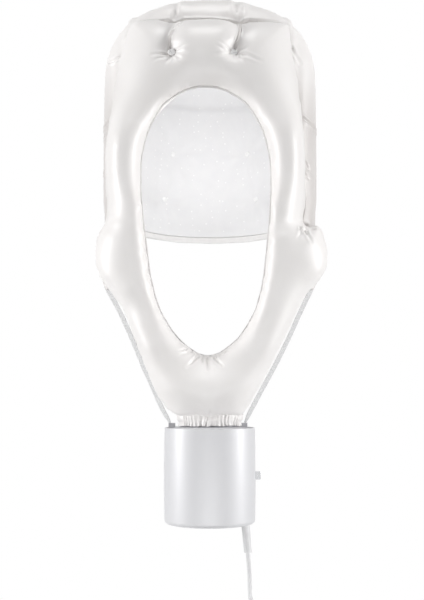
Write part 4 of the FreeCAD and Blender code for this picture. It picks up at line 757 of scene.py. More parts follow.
def to_dart(x, z):
    """Distance to the nearer of the brow's darts."""
    return min(to_run(x, z, *run)[0] for line in DARTS for run in zip(line, line[1:]))


def dip(distance, wide):
    """1 at a seam, falling to 0 over this width."""
    return math.exp(-(distance / wide) ** 2)


def ease(value, low, high):
    """0 below the low value, 1 above the high one, with a soft rise between them."""
    share = max(0.0, min(1.0, (value - low) / (high - low)))
    return share * share * (3 - 2 * share)


def crest_power(z):
    """The power that puts the ring's crest where it lies at this level."""
    for (high, above), (low, below) in zip(CREST, CREST[1:]):
        if z > low:
            return above + (below - above) * ease(-z, -high, -low)
    return CREST[-1][1]


def ring_form(x, z):
    """Seam level, and how full the ring is there from its share of the way from the outer seam to the face.
    """
    out = near(side_seam, x, z)
    inward = near(face_seam, x, z)
    across = inward / max(out + inward, 0.001)
    seam_back = SEAM_BACK + (AXIS_Y - SEAM_BACK) * ease(-z, 272, 345)
    seam = AXIS_Y + (seam_back - AXIS_Y) * across
    place = across ** crest_power(z)
    fill = 2 * math.sqrt(max(place * (1 - place), 0))
    return seam, fill * min(1.0, (out + inward) / 2 / FULL_WIDTH)


SEAM_REACH = 3.2
RIM_REACH = 7
WELD_REACH = 4
DART_REACH = 2
DART_HOLD = 0.3
pins = {}
fuller = {}
rim_points = []
for vertex in front_pillow.data.vertices:
    x, z = 1000 * vertex.co.x, 1000 * vertex.co.z
    side = 1 if 1000 * vertex.co.y > AXIS_Y else -1
    out = near(front_seam, x, z)
    inward = near(face_seam, x, z)
    seam, fill = ring_form(x, z)
    weld = min(math.hypot(x - weld_x, z - weld_z) for weld_x, weld_z in BROW_WELDS)
    if side < 0:
        fold = to_dart(x, z)
        kept = 1 - 0.2 * dip(weld, 11) - 0.1 * dip(fold, 13) - 0.1 * dip(fold, 3.5)
        rise = (seam - FRONT_FACE) * fill * kept
        rise -= BROW_BOW * (x / 100) ** 2 * ease(z, -190, -110) * min(fill, 1)
        rise += FUNNEL_SWELL * dip(z - FUNNEL_CREST, 22) * max(0, 1 - (x / 90) ** 2)
        rise *= 1 - CORNER_ROUNDING * ease(-z, 425, 475) * (x / (abs(x) + out)) ** 2
    else:
        rise = (BACK_FACE - seam) * fill
    further = (seam - EYE[1]) / (AXIS_Y - EYE[1])
    vertex.co.x = mm(EYE[0] + (x - EYE[0]) * further)
    vertex.co.z = mm(EYE[2] + (z - EYE[2]) * further)
    vertex.co.y = mm(seam + side * max(rise, 0.8))
    if out < RIM_REACH:
        rim_points.append(vertex.index)
    if min(out, inward) < SEAM_REACH or (side < 0 and weld < WELD_REACH):
        pins[vertex.index] = 1.0
    elif side < 0 and fold < DART_REACH:
        pins[vertex.index] = DART_HOLD
    foot = math.hypot(x - FACE_FOOT[0], z - FACE_FOOT[1])
    flank = math.hypot(x - SIDE_WELD[0], z - SIDE_WELD[1])
    fuller[vertex.index] = min(1.0, 0.25 + dip(weld, 26) + dip(foot, 34) + dip(flank, 22) + dip(out, 9))
print("pinned points:", len(pins))

# %% Blow it up
LAST_FRAME = 20


def inflate(piece, pins, fuller, pressure, growth, cap):
    """Cloth with air pressure. Seams are pinned, and no point moves further than the cap."""
    held = piece.vertex_groups.new(name="seams")
    loose = piece.vertex_groups.new(name="fullness")
    for index, weight in pins.items():
        held.add([index], weight, "REPLACE")
    for index, weight in fuller.items():
        loose.add([index], weight, "REPLACE")
    start = [vertex.co.copy() for vertex in piece.data.vertices]
    cloth = piece.modifiers.new("air", "CLOTH")
    cloth.settings.quality = 5
    cloth.settings.mass = 0.2
    cloth.settings.tension_stiffness = 18
    cloth.settings.compression_stiffness = 12
    cloth.settings.shear_stiffness = 6
    cloth.settings.bending_stiffness = 0.12
    cloth.settings.use_pressure = True
    cloth.settings.uniform_pressure_force = pressure
    cloth.settings.vertex_group_mass = "seams"
    cloth.settings.vertex_group_shrink = "fullness"
    cloth.settings.shrink_min = 0.0
    cloth.settings.shrink_max = -growth
    cloth.settings.effector_weights.gravity = 0
    cloth.collision_settings.use_collision = False
    cloth.point_cache.frame_start = 1
    cloth.point_cache.frame_end = LAST_FRAME
    for count in range(1, LAST_FRAME + 1):
        scene.frame_set(count)
    settle(piece)
    scene.frame_set(1)
    moved = 0.0
    for vertex, before in zip(piece.data.vertices, start):
        move = vertex.co - before
        if move.length > cap:
            vertex.co = before + move * (cap / move.length)
        moved = max(moved, min(move.length, cap))
    piece.vertex_groups.clear()
    return moved


def in_line(x, z, line):
    """Distance to a line of points and how far along it the nearest place is."""
    best = (1e9, 0.0)
    runs = len(line) - 1
    for index in range(runs):
        away, share = to_run(x, z, line[index], line[index + 1])
        if away < best[0]:
            best = (away, (index + share) / runs)
    return best


RIDGE = 0.45
RIDGE_AWAY = 2.2


def press(piece, creases, reach, facing=0.35):
    """Press creases into the cloth's front. Each is a line of the front view, its depth and half
    width in millimetres and how much of the depth is left at its far end. Beside it the cloth
    stands up."""
    piece.data.update()
    boxes = []
    for line, deep, wide, left in creases:
        across = [x for x, _ in line]
        up = [z for _, z in line]
        boxes.append((min(across) - reach, max(across) + reach, min(up) - reach, max(up) + reach))
    moves = []
    for vertex in piece.data.vertices:
        x, y, z = 1000 * vertex.co
        if vertex.normal.y > facing:
            continue
        amount = 0.0
        for (line, deep, wide, left), box in zip(creases, boxes):
            if not (box[0] < x < box[1] and box[2] < z < box[3]):
                continue
            away, share = in_line(x, z, line)
            strength = deep * (1 - (1 - left) * share)
            amount += strength * (dip(away, wide) - RIDGE * dip(away - RIDGE_AWAY * wide, wide))
        if amount:
            moves.append((vertex, vertex.normal.copy(), amount))
    for vertex, normal, amount in moves:
        vertex.co -= normal * mm(amount)
    return len(moves)


def shade_smooth(mesh):
    """Shade all of the mesh's faces as one smooth surface."""
    for face in mesh.polygons:
        face.use_smooth = True


def refine(piece, places, reach, before=AXIS_Y):
    """Halve the mesh round these places of the front view, where fine creases follow."""
    made = bmesh.new()
    made.from_mesh(piece.data)
    fine = []
    for edge in made.edges:
        spot = edge.verts[0].co
        close = any(math.hypot(1000 * spot.x - x, 1000 * spot.z - z) < reach for x, z in places)
        if close and spot.y < mm(before):
            fine.append(edge)
    bmesh.ops.subdivide_edges(made, edges=fine, cuts=1, use_grid_fill=True, smooth=0.6)
    bmesh.ops.triangulate(made, faces=[face for face in made.faces if len(face.verts) > 4])
    made.to_mesh(piece.data)
    made.free()
    shade_smooth(piece.data)


def rounded(piece, levels):
    """Round the piece with subdivisions."""
    smooth = piece.modifiers.new("smooth", "SUBSURF")
    smooth.levels = levels
    smooth.render_levels = levels


def subdivided(piece):
    """Round the piece once and apply that."""
    rounded(piece, 1)
    settle(piece)
    shade_smooth(piece.data)


def relax(piece, chosen, rounds):
    """Even out the steps that the voxels leave along a slanting seam."""
    made = bmesh.new()
    made.from_mesh(piece.data)
    made.verts.ensure_lookup_table()
    rim = [made.verts[index] for index in chosen]
    for _ in range(rounds):
        bmesh.ops.smooth_vert(made, verts=rim, factor=0.5, use_axis_x=True, use_axis_y=True,
                              use_axis_z=True)
    made.to_mesh(piece.data)
    made.free()


PRESSURE = 4.0
GROWTH = 0.05
relax(front_pillow, rim_points, 3)
moved = inflate(front_pillow, pins, fuller, PRESSURE, GROWTH, mm(14))
print("front pillow swelled by up to", round(1000 * moved, 1), "mm")
relax(front_pillow, rim_points, 1)
subdivided(front_pillow)
print("front pillow:", len(front_pillow.data.polygons), "faces")

# %% [markdown]
# Fine creases come after the simulation, because the voxel mesh can't hold them. From
# each brow weld they spread as a star, and others start at the foot of the face
# opening and at the weld of the right side lobe. The mesh is halved round those
# places, and each crease is a narrow furrow with a low ridge on both sides.

# %% Press the creases
STARS = [
    ([(-49.5, -70), (-60.5, -71), (-71.5, -71.5)], 2.0, 1.5, 0.2),
    ([(-48.5, -71), (-57, -75), (-64, -77), (-69, -80)], 1.3, 1.5, 0.1),
    ([(-47, -72.5), (-51, -78.5), (-55.5, -86)], 1.2, 1.6, 0.1),
    ([(-45, -72.5), (-43.5, -81)], 1.1, 1.4, 0.1),
    ([(-43, -71), (-36.5, -77.5), (-29, -81)], 1.2, 1.6, 0.1),
    ([(-42.5, -68.5), (-34, -70), (-21.5, -71)], 1.0, 1.5, 0.0),
    ([(-42.5, -66), (-32.5, -62.5), (-25.5, -60.5)], 1.4, 1.6, 0.1),
    ([(-43.5, -64.5), (-37.5, -57.5)], 0.9, 1.5, 0.0),
    ([(24.5, -68.5), (16, -67.5), (7.5, -63.5)], 1.3, 1.6, 0.1),
    ([(24.5, -71), (15, -74.5), (5, -75)], 1.6, 1.5, 0.1),
    ([(25.5, -66), (19.5, -62.5), (11, -58.5)], 1.2, 1.6, 0.1),
    ([(34, -71), (44, -73.5), (56, -78.5), (63.5, -80.5)], 1.6, 1.7, 0.2),
    ([(33, -73.5), (38, -78.5), (44, -86)], 1.0, 1.5, 0.0),
    ([(34, -68.5), (41.5, -66), (46.5, -62.5)], 1.1, 1.5, 0.0),
]
FOLDS = [
    ([(-38, -27), (-42, -35), (-46.5, -43), (-49, -53), (-49.3, -62), (-47, -65)], 2.7, 1.3, 0.6),
    ([(37.8, -28), (37, -40.5), (35, -48), (32.5, -55.5), (30.5, -63)], 3.2, 1.3, 0.5),
]
FOOT_CREASES = [
    ([(-28.5, -429.5), (-36, -431.5)], 1.7, 1.3, 0.2),
    ([(-21.5, -432), (-30.5, -434.5), (-38, -437)], 1.4, 1.4, 0.1),
    ([(-15, -438.5), (-21.5, -445.5), (-26.5, -450.5)], 2.0, 1.5, 0.2),
    ([(-8.5, -440), (-10, -448)], 0.8, 1.3, 0.1),
    ([(-3.5, -440.5), (-2, -454)], 1.9, 1.5, 0.2),
    ([(5.5, -439.5), (15, -449)], 2.1, 1.5, 0.3),
    ([(7.5, -438.5), (14.5, -435), (23, -430)], 2.0, 1.3, 0.2),
]
SIDE_CREASES = [
    ([(114, -287), (126.5, -284)], 2.4, 1.5, 0.3),
    ([(114, -288), (121.5, -302)], 2.2, 1.5, 0.2),
    ([(115, -286), (118, -277)], 2.0, 1.4, 0.2),
    ([(108.5, -286), (116, -291.5)], 2.2, 1.5, 0.5),
    ([(109, -290), (103, -300)], 1.2, 1.5, 0.0),
]
refine(front_pillow, TUFTS + [(-36, -48), (36, -48)], 34)
refine(front_pillow, TUFTS, 16)
refine(front_pillow, [(-41, -33), (-46, -43), (-49, -54), (37.5, -32), (36, -43), (33, -54)], 9)
refine(front_pillow, [(-4, -444)], 36)
refine(front_pillow, [(115, -289)], 18)
pressed = press(front_pillow, STARS + FOLDS + FOOT_CREASES + SIDE_CREASES, 8)
print("points moved by creases:", pressed, "of", len(front_pillow.data.vertices))
front_pillow.data.materials.append(taffeta)
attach(front_pillow, "bonnet")
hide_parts("bonnet_front_chamber")

# %% [markdown]
# ## The rear cushion
# The rest of the hood is a cushion that goes over the crown and round the back of the
# head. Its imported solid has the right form, so the cloth starts from a copy of it,
# remeshed and drawn in a little, and is blown up from there. The wall towards the
# head stays where it is. Two long seams carry the brow's darts on over the crown and
# down the back, and four welds at the back hold the cushion thin.

# %% Copy and remesh the solid
REAR_VOXEL = 4.8
MIDDLE_Y = 5
HEAD_HALF = 102
OUTER_SEAMS = (-43.0, 33.0)
BACK_WELDS = [(-140, 32), (-208, 40)]
BACK_RADIUS = 138


def copy_of(node, name):
    """A new object from a node's mesh, its loose triangles merged."""
    made = bmesh.new()
    made.from_mesh(bpy.data.objects[node].data)
    bmesh.ops.remove_doubles(made, verts=made.verts, dist=mm(0.01))
    return piece_from(made, name)


rear_cushion = copy_of("bonnet_rear_chamber", "rear_cushion")
revoxel(rear_cushion, REAR_VOXEL)
print("rear cushion:", len(rear_cushion.data.vertices), "points")


# %% Draw in its seams and welds
def from_head(x, y):
    """Distance from the hood's middle: across in front of the head's middle, all round behind it."""
    return abs(x) if y < MIDDLE_Y else math.hypot(x, y - MIDDLE_Y)


weld_places = []
for level, turn in BACK_WELDS:
    for sign in (1, -1):
        angle = math.radians(turn)
        back = MIDDLE_Y + BACK_RADIUS * math.cos(angle)
        weld_places.append(Vector((sign * BACK_RADIUS * math.sin(angle), back, level)))


def to_long_seam(x):
    """Distance across to the nearer long seam."""
    return min(abs(x - seam) for seam in OUTER_SEAMS)


def is_held(x, y, z):
    """Whether this place is on the wall towards the head, or on the ends behind the front chamber."""
    reach = from_head(x, y)
    wall = reach < HEAD_HALF + 6 and z < 5 and y > -56
    end = reach < HEAD_HALF + 10 and y < -62 and z < -16
    return wall or end


DRAWN_IN = 3.0
WELD_DEEP = 11
SEAM_DEEP = 7.5
CROWN_RISE = 3
HEM_FOOT = -268
pins = {}
fuller = {}
rear_cushion.data.update()
normals = [vertex.normal.copy() for vertex in rear_cushion.data.vertices]
for vertex, normal in zip(rear_cushion.data.vertices, normals):
    x, y, z = 1000 * vertex.co
    if is_held(x, y, z):
        pins[vertex.index] = 1.0
        continue
    spot = Vector((x, y, z))
    weld = min((spot - place).length for place in weld_places)
    seam = to_long_seam(x)
    crown = ease(z, -70, 10) * ease(-y, -95, -40)
    depth = DRAWN_IN + WELD_DEEP * dip(weld, 17)
    depth = depth + SEAM_DEEP * (1 - crown) * dip(seam, 9) - CROWN_RISE * crown * dip(seam, 13)
    depth *= ease(z, HEM_FOOT, -244)
    vertex.co -= normal * mm(depth)
    foot = ease(-z, 236, -HEM_FOOT) * max(0, from_head(x, y) - HEAD_HALF) / 38
    vertex.co.z += mm(12 * foot * ease(y, 10, 60) - 9 * foot * ease(-y, 0, 50))
    vertex.co.x -= mm(math.copysign(5 * foot * ease(-y, -60, -10), x))
    if weld < 5 or (seam < 2.6 and crown < 0.5) or z < -263:
        pins[vertex.index] = 1.0
    fuller[vertex.index] = min(1.0, 0.3 + dip(weld, 40) + dip(seam, 24) * (1 - crown) + dip(z + 266, 20))
print("pinned points:", len(pins))

# %% Blow it up
moved = inflate(rear_cushion, pins, fuller, PRESSURE, GROWTH, mm(9))
print("rear cushion swelled by up to", round(1000 * moved, 1), "mm")
subdivided(rear_cushion)

# %% [markdown]
# Two soft folds run on from the darts over the crown, and a long one lies behind the
# brow. The sides have short seams and puckers where the cushion is joined to the front
# chamber.

# %% Press the cushion's creases
CROWN_FOLDS = [
    ([(-41.5, 15.5), (-44.5, 5), (-47.5, -6)], 0.7, 2.2, 1.2),
    ([(42.5, 14), (40.5, 3.5), (38.5, -8.5)], 0.9, 2.0, 1.0),
    ([(-89.8, -9.5), (-53.5, -9.5), (-44.6, -13), (-32.5, -9), (2.6, -9), (30.7, -12), (38.3, -14),
      (49.8, -8.5), (99.5, -11)], 2.4, 1.8, 1.0),
]
LOBE_CREASES = [
    ([(104, -45.5), (109, -54.5), (115, -63.5)], 1.8, 1.8, 0.4),
    ([(117, -134.5), (126, -139), (136, -142.5)], 2.2, 1.6, 0.8),
    ([(117.5, -190), (123, -195.5)], 1.4, 1.5, 0.3),
    ([(117.5, -206), (125, -212)], 1.8, 1.5, 0.3),
    ([(124, -200), (119, -187)], 1.2, 1.5, 0.2),
    ([(114, -282), (112.5, -268), (116.5, -252), (119, -238)], 2.2, 1.6, 0.3),
    ([(-129.5, -59), (-121.5, -57.5), (-113, -55)], 2.2, 1.6, 0.8),
    ([(-136, -139), (-131, -137), (-124.5, -131.5)], 2.0, 1.6, 0.6),
    ([(-138, -152.5), (-131, -152.5)], 1.2, 1.4, 0.4),
    ([(-136, -199.5), (-131, -202), (-130, -211)], 1.6, 1.5, 0.4),
    ([(-129, -269), (-133, -280), (-137.5, -291.5)], 1.6, 1.6, 0.3),
]
places = [place for line, *_ in LOBE_CREASES + CROWN_FOLDS for place in line]
refine(rear_cushion, places, 12, -20)
pressed = press(rear_cushion, LOBE_CREASES + CROWN_FOLDS, 8, 0.2)
print("points moved by the cushion's creases:", pressed, "of", len(rear_cushion.data.vertices))
rear_cushion.data.materials.append(taffeta)
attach(rear_cushion, "bonnet")
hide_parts("bonnet_rear_chamber")

# %% [markdown]
# ## The lining
# Round the head the hood is lined with a thin punched nonwoven, through which the warm
# air reaches the hair. Four ring welds tie it to the fabric behind, and between them
# the air pushes it in a little. It is a profile from crown to nape, spun round the
# back and drawn straight forward at both sides, so it is made with spin and extrude.

# %% Helpers for new pieces
def finished(made, name, material, slot, *nodes, body="bonnet"):
    """A smooth piece from a bmesh, riding on its body in place of these nodes."""
    piece = piece_from(made, name)
    shade_smooth(piece.data)
    piece.data.materials.append(material)
    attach(piece, body)
    if nodes:
        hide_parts(*nodes)
    return piece


def thickened(piece, thick, levels=0, offset=0.0):
    """Give a sheet its thickness and then round it with subdivisions."""
    wall = piece.modifiers.new("wall", "SOLIDIFY")
    wall.thickness = mm(thick)
    wall.offset = offset
    if levels:
        rounded(piece, levels)


def points_of(parts):
    """The vertices among the parts that an operator gave back."""
    return [part for part in parts if isinstance(part, bmesh.types.BMVert)]


def edges_of(parts):
    """The edges among the parts that an operator gave back."""
    return [part for part in parts if isinstance(part, bmesh.types.BMEdge)]


def drawn(made, edges, step, count):
    """Draw edges out by a step, this many times."""
    for _ in range(count):
        new = bmesh.ops.extrude_edge_only(made, edges=edges)["geom"]
        fresh = set(points_of(new))
        bmesh.ops.translate(made, verts=points_of(new), vec=step)
        edges = [edge for edge in edges_of(new) if fresh.issuperset(edge.verts)]


# %% Spin the lining
LINING_HALF = 101.4
LIP_Y = -50
NAPE = -259.5
CROWN_BEND = 185
CORNER_BEND = 62
CORNER_OUT = 40
FORWARD_STEPS = 11
corner_level = math.sqrt((CROWN_BEND - CORNER_BEND) ** 2 - CORNER_OUT ** 2) - CROWN_BEND
crown_angle = math.atan2(CORNER_OUT, corner_level + CROWN_BEND)
inset = HEAD_HALF - LINING_HALF


def head_form(made, foot):
    """Profile from the crown to this level, spun round the back and drawn to the front lip."""
    top = made.verts.new(mm(0, MIDDLE_Y, -inset))
    end = [top]
    for centre, turn, steps in (((0, MIDDLE_Y, -CROWN_BEND), crown_angle, 12),
                                ((CORNER_OUT, MIDDLE_Y, corner_level), math.pi / 2 - crown_angle, 15)):
        end = bmesh.ops.spin(made, geom=end, cent=mm(*centre), axis=(0, 1, 0), angle=turn,
                             steps=steps)["geom_last"]
    steps = round((corner_level - foot) / 5)
    for _ in range(steps):
        down = bmesh.ops.extrude_vert_indiv(made, verts=end)
        end = down["verts"]
        bmesh.ops.translate(made, verts=end, vec=mm(0, 0, (foot - corner_level) / steps))
    profile = made.edges[:]
    turned = bmesh.ops.spin(made, geom=made.verts[:] + profile, cent=mm(0, MIDDLE_Y, 0), axis=(0, 0, 1),
                            angle=math.pi, steps=64)["geom_last"]
    forward = mm(0, (LIP_Y - MIDDLE_Y) / FORWARD_STEPS, 0)
    drawn(made, profile, forward, FORWARD_STEPS)
    drawn(made, edges_of(turned), forward, FORWARD_STEPS)
    bmesh.ops.remove_doubles(made, verts=made.verts, dist=mm(0.02))
    bmesh.ops.recalc_face_normals(made, faces=made.faces)


lining_form = bmesh.new()
head_form(lining_form, NAPE)
print("lining:", len(lining_form.verts), "points")

# %% Tie it at the welds
LINING_WELDS = [(level, sign * turn) for level, turn in BACK_WELDS for sign in (1, -1)]
BULGE = 3.2
PLEAT = 0.7
DRIFT = 1.4
STRETCHED = 0.35
WELD_SPREAD = 24


def round_back(x, y):
    """Way round the back from its middle, in millimetres."""
    return HEAD_HALF * math.atan2(x, y - MIDDLE_Y)


for point in lining_form.verts:
    x, y, z = 1000 * point.co
    round_way = round_back(x, y)
    free = STRETCHED if y < MIDDLE_Y or z > corner_level else 1.0
    apart = 1.0
    pleats = 0.0
    for level, turn in LINING_WELDS:
        weld_way = HEAD_HALF * math.radians(turn)
        away = math.hypot(round_way - weld_way, z - level)
        apart = min(apart, 1 - dip(away, WELD_SPREAD))
        fan = math.atan2(round_way - weld_way, z - level)
        pleats += dip(away - 22, WELD_SPREAD) * (math.cos(fan * 7) + 0.6 * math.cos(fan * 11 + 1))
    edge = ease(z, NAPE, NAPE + 22) * ease(y, LIP_Y, LIP_Y + 16)
    drift = noise.noise(Vector((round_way / 24, z / 75, 3.1)))
    inward = free * edge * (BULGE * apart + PLEAT * pleats + DRIFT * drift * apart)
    up = z - corner_level + CORNER_OUT if z > corner_level else 0
    way = Vector((x, max(y - MIDDLE_Y, 0), up)).normalized()
    point.co -= way * mm(max(inward, 0))
lining_area = sum(face.calc_area() for face in lining_form.faces)
head_lining = finished(lining_form, "head_lining", lining, "lining_fabric", "bonnet_liner")
thickened(head_lining, 0.8, 1)
print("lining area:", round(lining_area, 4), "m2")

# %% [markdown]
# The lower edge is bound with a doubled strip, which its stitches draw in a little.
# It runs on from the lining with the same form, so it is the lowest row of that form,
# drawn down and thickened.

# %% Hem
HEM_SAG = 0.8
HEM_WAIST = 0.006
made = bmesh.new()
head_form(made, NAPE)
low = [edge for edge in made.edges if all(1000 * point.co.z < NAPE + 0.2 for point in edge.verts)]
keep = {point for edge in low for point in edge.verts}
bmesh.ops.delete(made, geom=[point for point in made.verts if point not in keep], context="VERTS")
drawn(made, made.edges[:], mm(0, 0, (HEM_FOOT - NAPE) / 3), 3)
for point in made.verts:
    x, y, z = 1000 * point.co
    sag = noise.noise(Vector((round_back(x, y) / 30, 0, 7.7)))
    point.co.z += mm(HEM_SAG * sag * ease(-z, -NAPE, -HEM_FOOT))
    if -266.5 < z < -262:
        point.co.x *= 1 - HEM_WAIST
bmesh.ops.recalc_face_normals(made, faces=made.faces)
hem = finished(made, "nape_hem", tape, "binding_tape", "hem_binding")
thickened(hem, 1.5, 2)
print("hem:", len(hem.data.vertices), "points before smoothing")

# %% [markdown]
# ## The binding of the face opening
# The edge of the face opening is bound with a narrow tape. It follows the opening's
# cut, so it starts from that curve as a wire, is drawn 5 mm deep and thickened. Its
# puckers are small moves along and across, as a bound curve has.

# %% Bind the opening
BINDING_DEEP = 4.8
PUCKER = 0.5
RIPPLE = 0.7
face_wire = outline(FACE_CUT, (), "face_wire")
face_wire.fill_mode = "NONE"
made = bmesh.new()
made.from_mesh(as_mesh(face_wire))
bmesh.ops.remove_doubles(made, verts=made.verts, dist=mm(MERGE))
bmesh.ops.translate(made, verts=made.verts, vec=mm(0, -BINDING_DEEP / 2, 0))
drawn(made, made.edges[:], mm(0, BINDING_DEEP / 3, 0), 3)
FACE_MIDDLE = (-4.8, -262)
for point in made.verts:
    x, y, z = 1000 * point.co
    out = Vector((x - FACE_MIDDLE[0], 0, (z - FACE_MIDDLE[1]) * 0.3)).normalized()
    pucker = noise.noise(Vector((x / 9, z / 9, 1.3))) + 0.5 * noise.noise(Vector((x / 3.5, z / 3.5, 5.1)))
    point.co += out * mm(PUCKER * pucker)
    point.co.y += mm(RIPPLE * noise.noise(Vector((x / 14, z / 14, 9.9))))
bmesh.ops.recalc_face_normals(made, faces=made.faces)
face_binding = finished(made, "face_binding", painted_shade_tape, "binding_tape", "face_edge_binding")
thickened(face_binding, 2.2, 1)
print("binding:", len(face_binding.data.vertices), "points before smoothing")

# %% [markdown]
# ## Ring welds
# Where two layers are welded, the tool leaves a raised ring. Each one is a small
# profile spun round: a flat rim, the ring and a low dome. The six sit on the fabric,
# found by looking for it from the front, or on the lining's own welds.

# %% Weld rings
WELD_PROFILE = [(0, 1.3), (1.2, 1.2), (2.0, 0.5), (2.5, 0.3), (3.0, 0.9), (3.6, 1.0), (4.2, 0.4),
                (4.5, -0.9), (0, -0.9)]
FRONT_PROUD = 1.2
BACK_PROUD = 1.0
BACK_SIZE = 0.85


def weld_ring(made, place, way, size):
    """One ring weld: its profile spun round, turned from Z to the way it faces."""
    before = set(made.verts)
    chain = [made.verts.new(mm(size * out, 0, size * rise)) for out, rise in WELD_PROFILE]
    lines = [made.edges.new(pair) for pair in zip(chain, chain[1:])]
    bmesh.ops.spin(made, geom=chain + lines, cent=(0, 0, 0), axis=(0, 0, 1), angle=math.tau, steps=24,
                   use_merge=True)
    turned = way.to_track_quat("Z", "Y").to_matrix().to_4x4()
    bmesh.ops.transform(made, matrix=Matrix.Translation(place) @ turned,
                        verts=[point for point in made.verts if point not in before])


def on_front(x, z):
    """The place on the front chamber's face at this point of the front view, and the way it faces."""
    _, place, normal, _ = front_pillow.ray_cast(mm(x, -300, z), (0, 1, 0))
    return place, normal


made = bmesh.new()
for x, z in TUFTS:
    place, normal = on_front(x, z)
    weld_ring(made, place + mm(0, -FRONT_PROUD, 0), (normal + Vector((0, -2, 0))).normalized(), 1.0)
for level, turn in LINING_WELDS:
    angle = math.radians(turn)
    way = Vector((math.sin(angle), math.cos(angle), 0))
    place = mm(0, MIDDLE_Y, level) + way * mm(LINING_HALF - BACK_PROUD)
    weld_ring(made, place, -way, BACK_SIZE)
bmesh.ops.remove_doubles(made, verts=made.verts, dist=mm(0.02))
bmesh.ops.recalc_face_normals(made, faces=made.faces)
finished(made, "weld_rings", film, "weld_film", "weld_discs")
print("weld rings:", len(TUFTS) + len(LINING_WELDS))

# %% [markdown]
# ## Straps
# Two knitted elastic straps carry the dryer: each is sewn to the foot of a side lobe
# and ends in a moulded tip in the deck's slot. Cloth simulation would erase so thin a
# band, so each is one cross edge drawn along the strap's middle line and thickened.
# The bands are turned about their length, which is why they look narrower than 10 mm.

# %% Draw the straps
STRAP_WIDE = 9.6
STRAP_TURN = -52
STRAP_LINES = {
    "right": [(126.5, -92, -350), (123, -90, -357), (114.4, -88, -374.5), (105.4, -87, -393.6),
              (97, -86, -413), (87.4, -85, -432), (77.7, -86, -451), (66.9, -87, -470), (56.1, -92, -489),
              (46.8, -98, -506), (40.8, -101.5, -517.5)],
    "left": [(-128, -92, -350), (-124, -90, -357), (-113.8, -88.5, -374.5), (-104.2, -87, -393.6),
             (-96, -86, -413), (-87.6, -85, -432), (-80.3, -86, -451), (-70.7, -87, -470),
             (-62.3, -92, -489), (-53.9, -98, -506), (-45.8, -101.5, -517.5)],
}
STRAP_END = 0.72
STRAP_THICK = 1.0


def strap(name, line, side):
    """A band along these points, with a UV map in millimetres: across and along."""
    made = bmesh.new()
    places = [mm(*place) for place in line]
    edge = None
    reached = 0.0
    marks = {}
    for index, place in enumerate(places):
        ahead = places[min(index + 1, len(places) - 1)] - places[max(index - 1, 0)]
        flat = ahead.cross(Vector((0, 1, 0))).normalized()
        narrow = STRAP_END if index == len(places) - 1 else 1.0
        turn = Matrix.Rotation(math.radians(side * STRAP_TURN), 3, ahead.normalized())
        across = turn @ flat * mm(STRAP_WIDE / 2)
        if index:
            reached += (place - places[index - 1]).length
            new = bmesh.ops.extrude_edge_only(made, edges=[edge])["geom"]
            edge = [part for part in edges_of(new) if not any(point in marks for point in part.verts)][0]
        else:
            edge = made.edges.new([made.verts.new(place), made.verts.new(place)])
        for point, sign in zip(edge.verts, (1, -1)):
            point.co = place + across * (sign * narrow)
            marks[point] = (sign * STRAP_WIDE / 2, 1000 * reached)
    sheet = made.loops.layers.uv.new("UVMap")
    for face in made.faces:
        for corner in face.loops:
            corner[sheet].uv = marks[corner.vert]
    bmesh.ops.subdivide_edges(made, edges=[part for part in made.edges if not part.is_boundary], cuts=3)
    bmesh.ops.recalc_face_normals(made, faces=made.faces)
    piece = finished(made, f"band_{name}", elastic, "elastic_webbing", f"strap_{name}")
    thickened(piece, STRAP_THICK, 2)
    return piece


for side_name, turn_way in (("right", 1), ("left", -1)):
    band = strap(side_name, STRAP_LINES[side_name], turn_way)
    print(band.name, len(band.data.vertices), "points before smoothing")

# %% [markdown]
# Each strap is sewn to the hood under a folded tab of the hood's own fabric. The tab is
# a small block drawn long, squeezed where the seam crosses it and rounded.

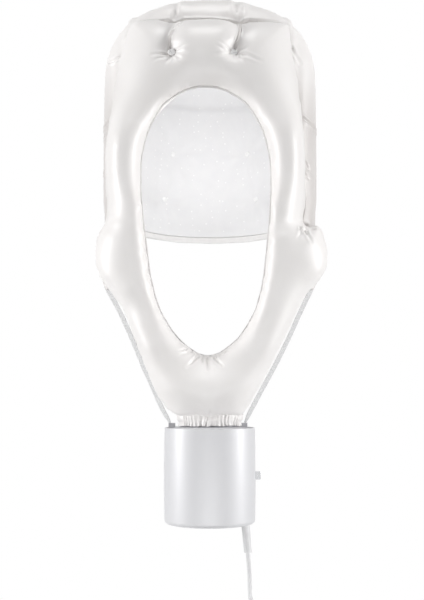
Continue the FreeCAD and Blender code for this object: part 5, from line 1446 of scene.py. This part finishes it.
# %% Strap anchors
ANCHOR_WIDE = 8
ANCHOR_DEEP = 5
ANCHOR_TALL = 11
ANCHOR_LEAN = 28
ANCHOR_PLACE = (125, -93, -350.5)
for side_name, sign in (("right", 1), ("left", -1)):
    made = bmesh.new()
    bmesh.ops.create_cube(made, size=1.0)
    bmesh.ops.subdivide_edges(made, edges=made.edges[:], cuts=3, use_grid_fill=True)
    for point in made.verts:
        squeeze = 1 - 0.3 * dip(point.co.z - 0.05, 0.16)
        point.co = Vector((point.co.x * mm(ANCHOR_WIDE) * squeeze, point.co.y * mm(ANCHOR_DEEP) * squeeze,
                           point.co.z * mm(ANCHOR_TALL)))
    bmesh.ops.rotate(made, verts=made.verts, cent=(0, 0, 0),
                     matrix=Matrix.Rotation(math.radians(sign * ANCHOR_LEAN), 3, "Y"))
    across, deep, level = ANCHOR_PLACE
    bmesh.ops.translate(made, verts=made.verts, vec=mm(sign * across, deep, level))
    bmesh.ops.recalc_face_normals(made, faces=made.faces)
    tab = finished(made, f"strap_tab_cloth_{side_name}", taffeta, "shell_fabric",
                   f"strap_anchor_{side_name}")
    rounded(tab, 1)
print("strap anchors: 2")

# %% [markdown]
# ## The cuff
# The funnel ends in a cuff that an elastic gathers round the dryer's collar. Gathered
# cloth makes deep, uneven pleats. They are waves round an oval sleeve whose depth and
# spacing wander, deepest at its lower edge and fading towards the funnel.

# %% Gather the cuff
PLEATS = 46
CUFF_THICK = 0.7
CUFF_RINGS = [(40.0, 23.5, -506.0, 0.4), (38.5, 24.2, -509.5, 0.9), (38.4, 27.2, -512.3, 1.2),
              (36.4, 26.4, -514.6, 0.7), (36.9, 26.8, -517.0, 1.3), (37.3, 27.2, -519.4, 1.5)]
made = bmesh.new()
first = bmesh.ops.create_circle(made, cap_ends=False, segments=PLEATS * 8, radius=1.0)["verts"]
edges = made.edges[:]
rings = [first]
for _ in CUFF_RINGS[1:]:
    new = bmesh.ops.extrude_edge_only(made, edges=edges)["geom"]
    fresh = set(points_of(new))
    edges = [edge for edge in edges_of(new) if fresh.issuperset(edge.verts)]
    rings.append(fresh)
for points, (wide, deep, level, depth) in zip(rings, CUFF_RINGS):
    for point in points:
        angle = math.atan2(point.co.y, point.co.x)
        across, over = math.cos(angle), math.sin(angle)
        wander = noise.noise(Vector((1.7 * across, 1.7 * over, level / 14)))
        height = 0.5 + 0.8 * noise.noise(Vector((4 * across, 4 * over, 5.0)))
        wave = depth * height * math.sin(PLEATS * angle + 5 * wander)
        lift = 0.9 * noise.noise(Vector((6 * across, 6 * over, level)))
        point.co = mm((wide + wave) * across, AXIS_Y + (deep + wave) * over, level + lift)
bmesh.ops.recalc_face_normals(made, faces=made.faces)
gathered_cuff = finished(made, "gathered_cuff", taffeta, "shell_fabric", "bonnet_cuff")
thickened(gathered_cuff, CUFF_THICK, 1)
print("cuff:", PLEATS, "pleats")
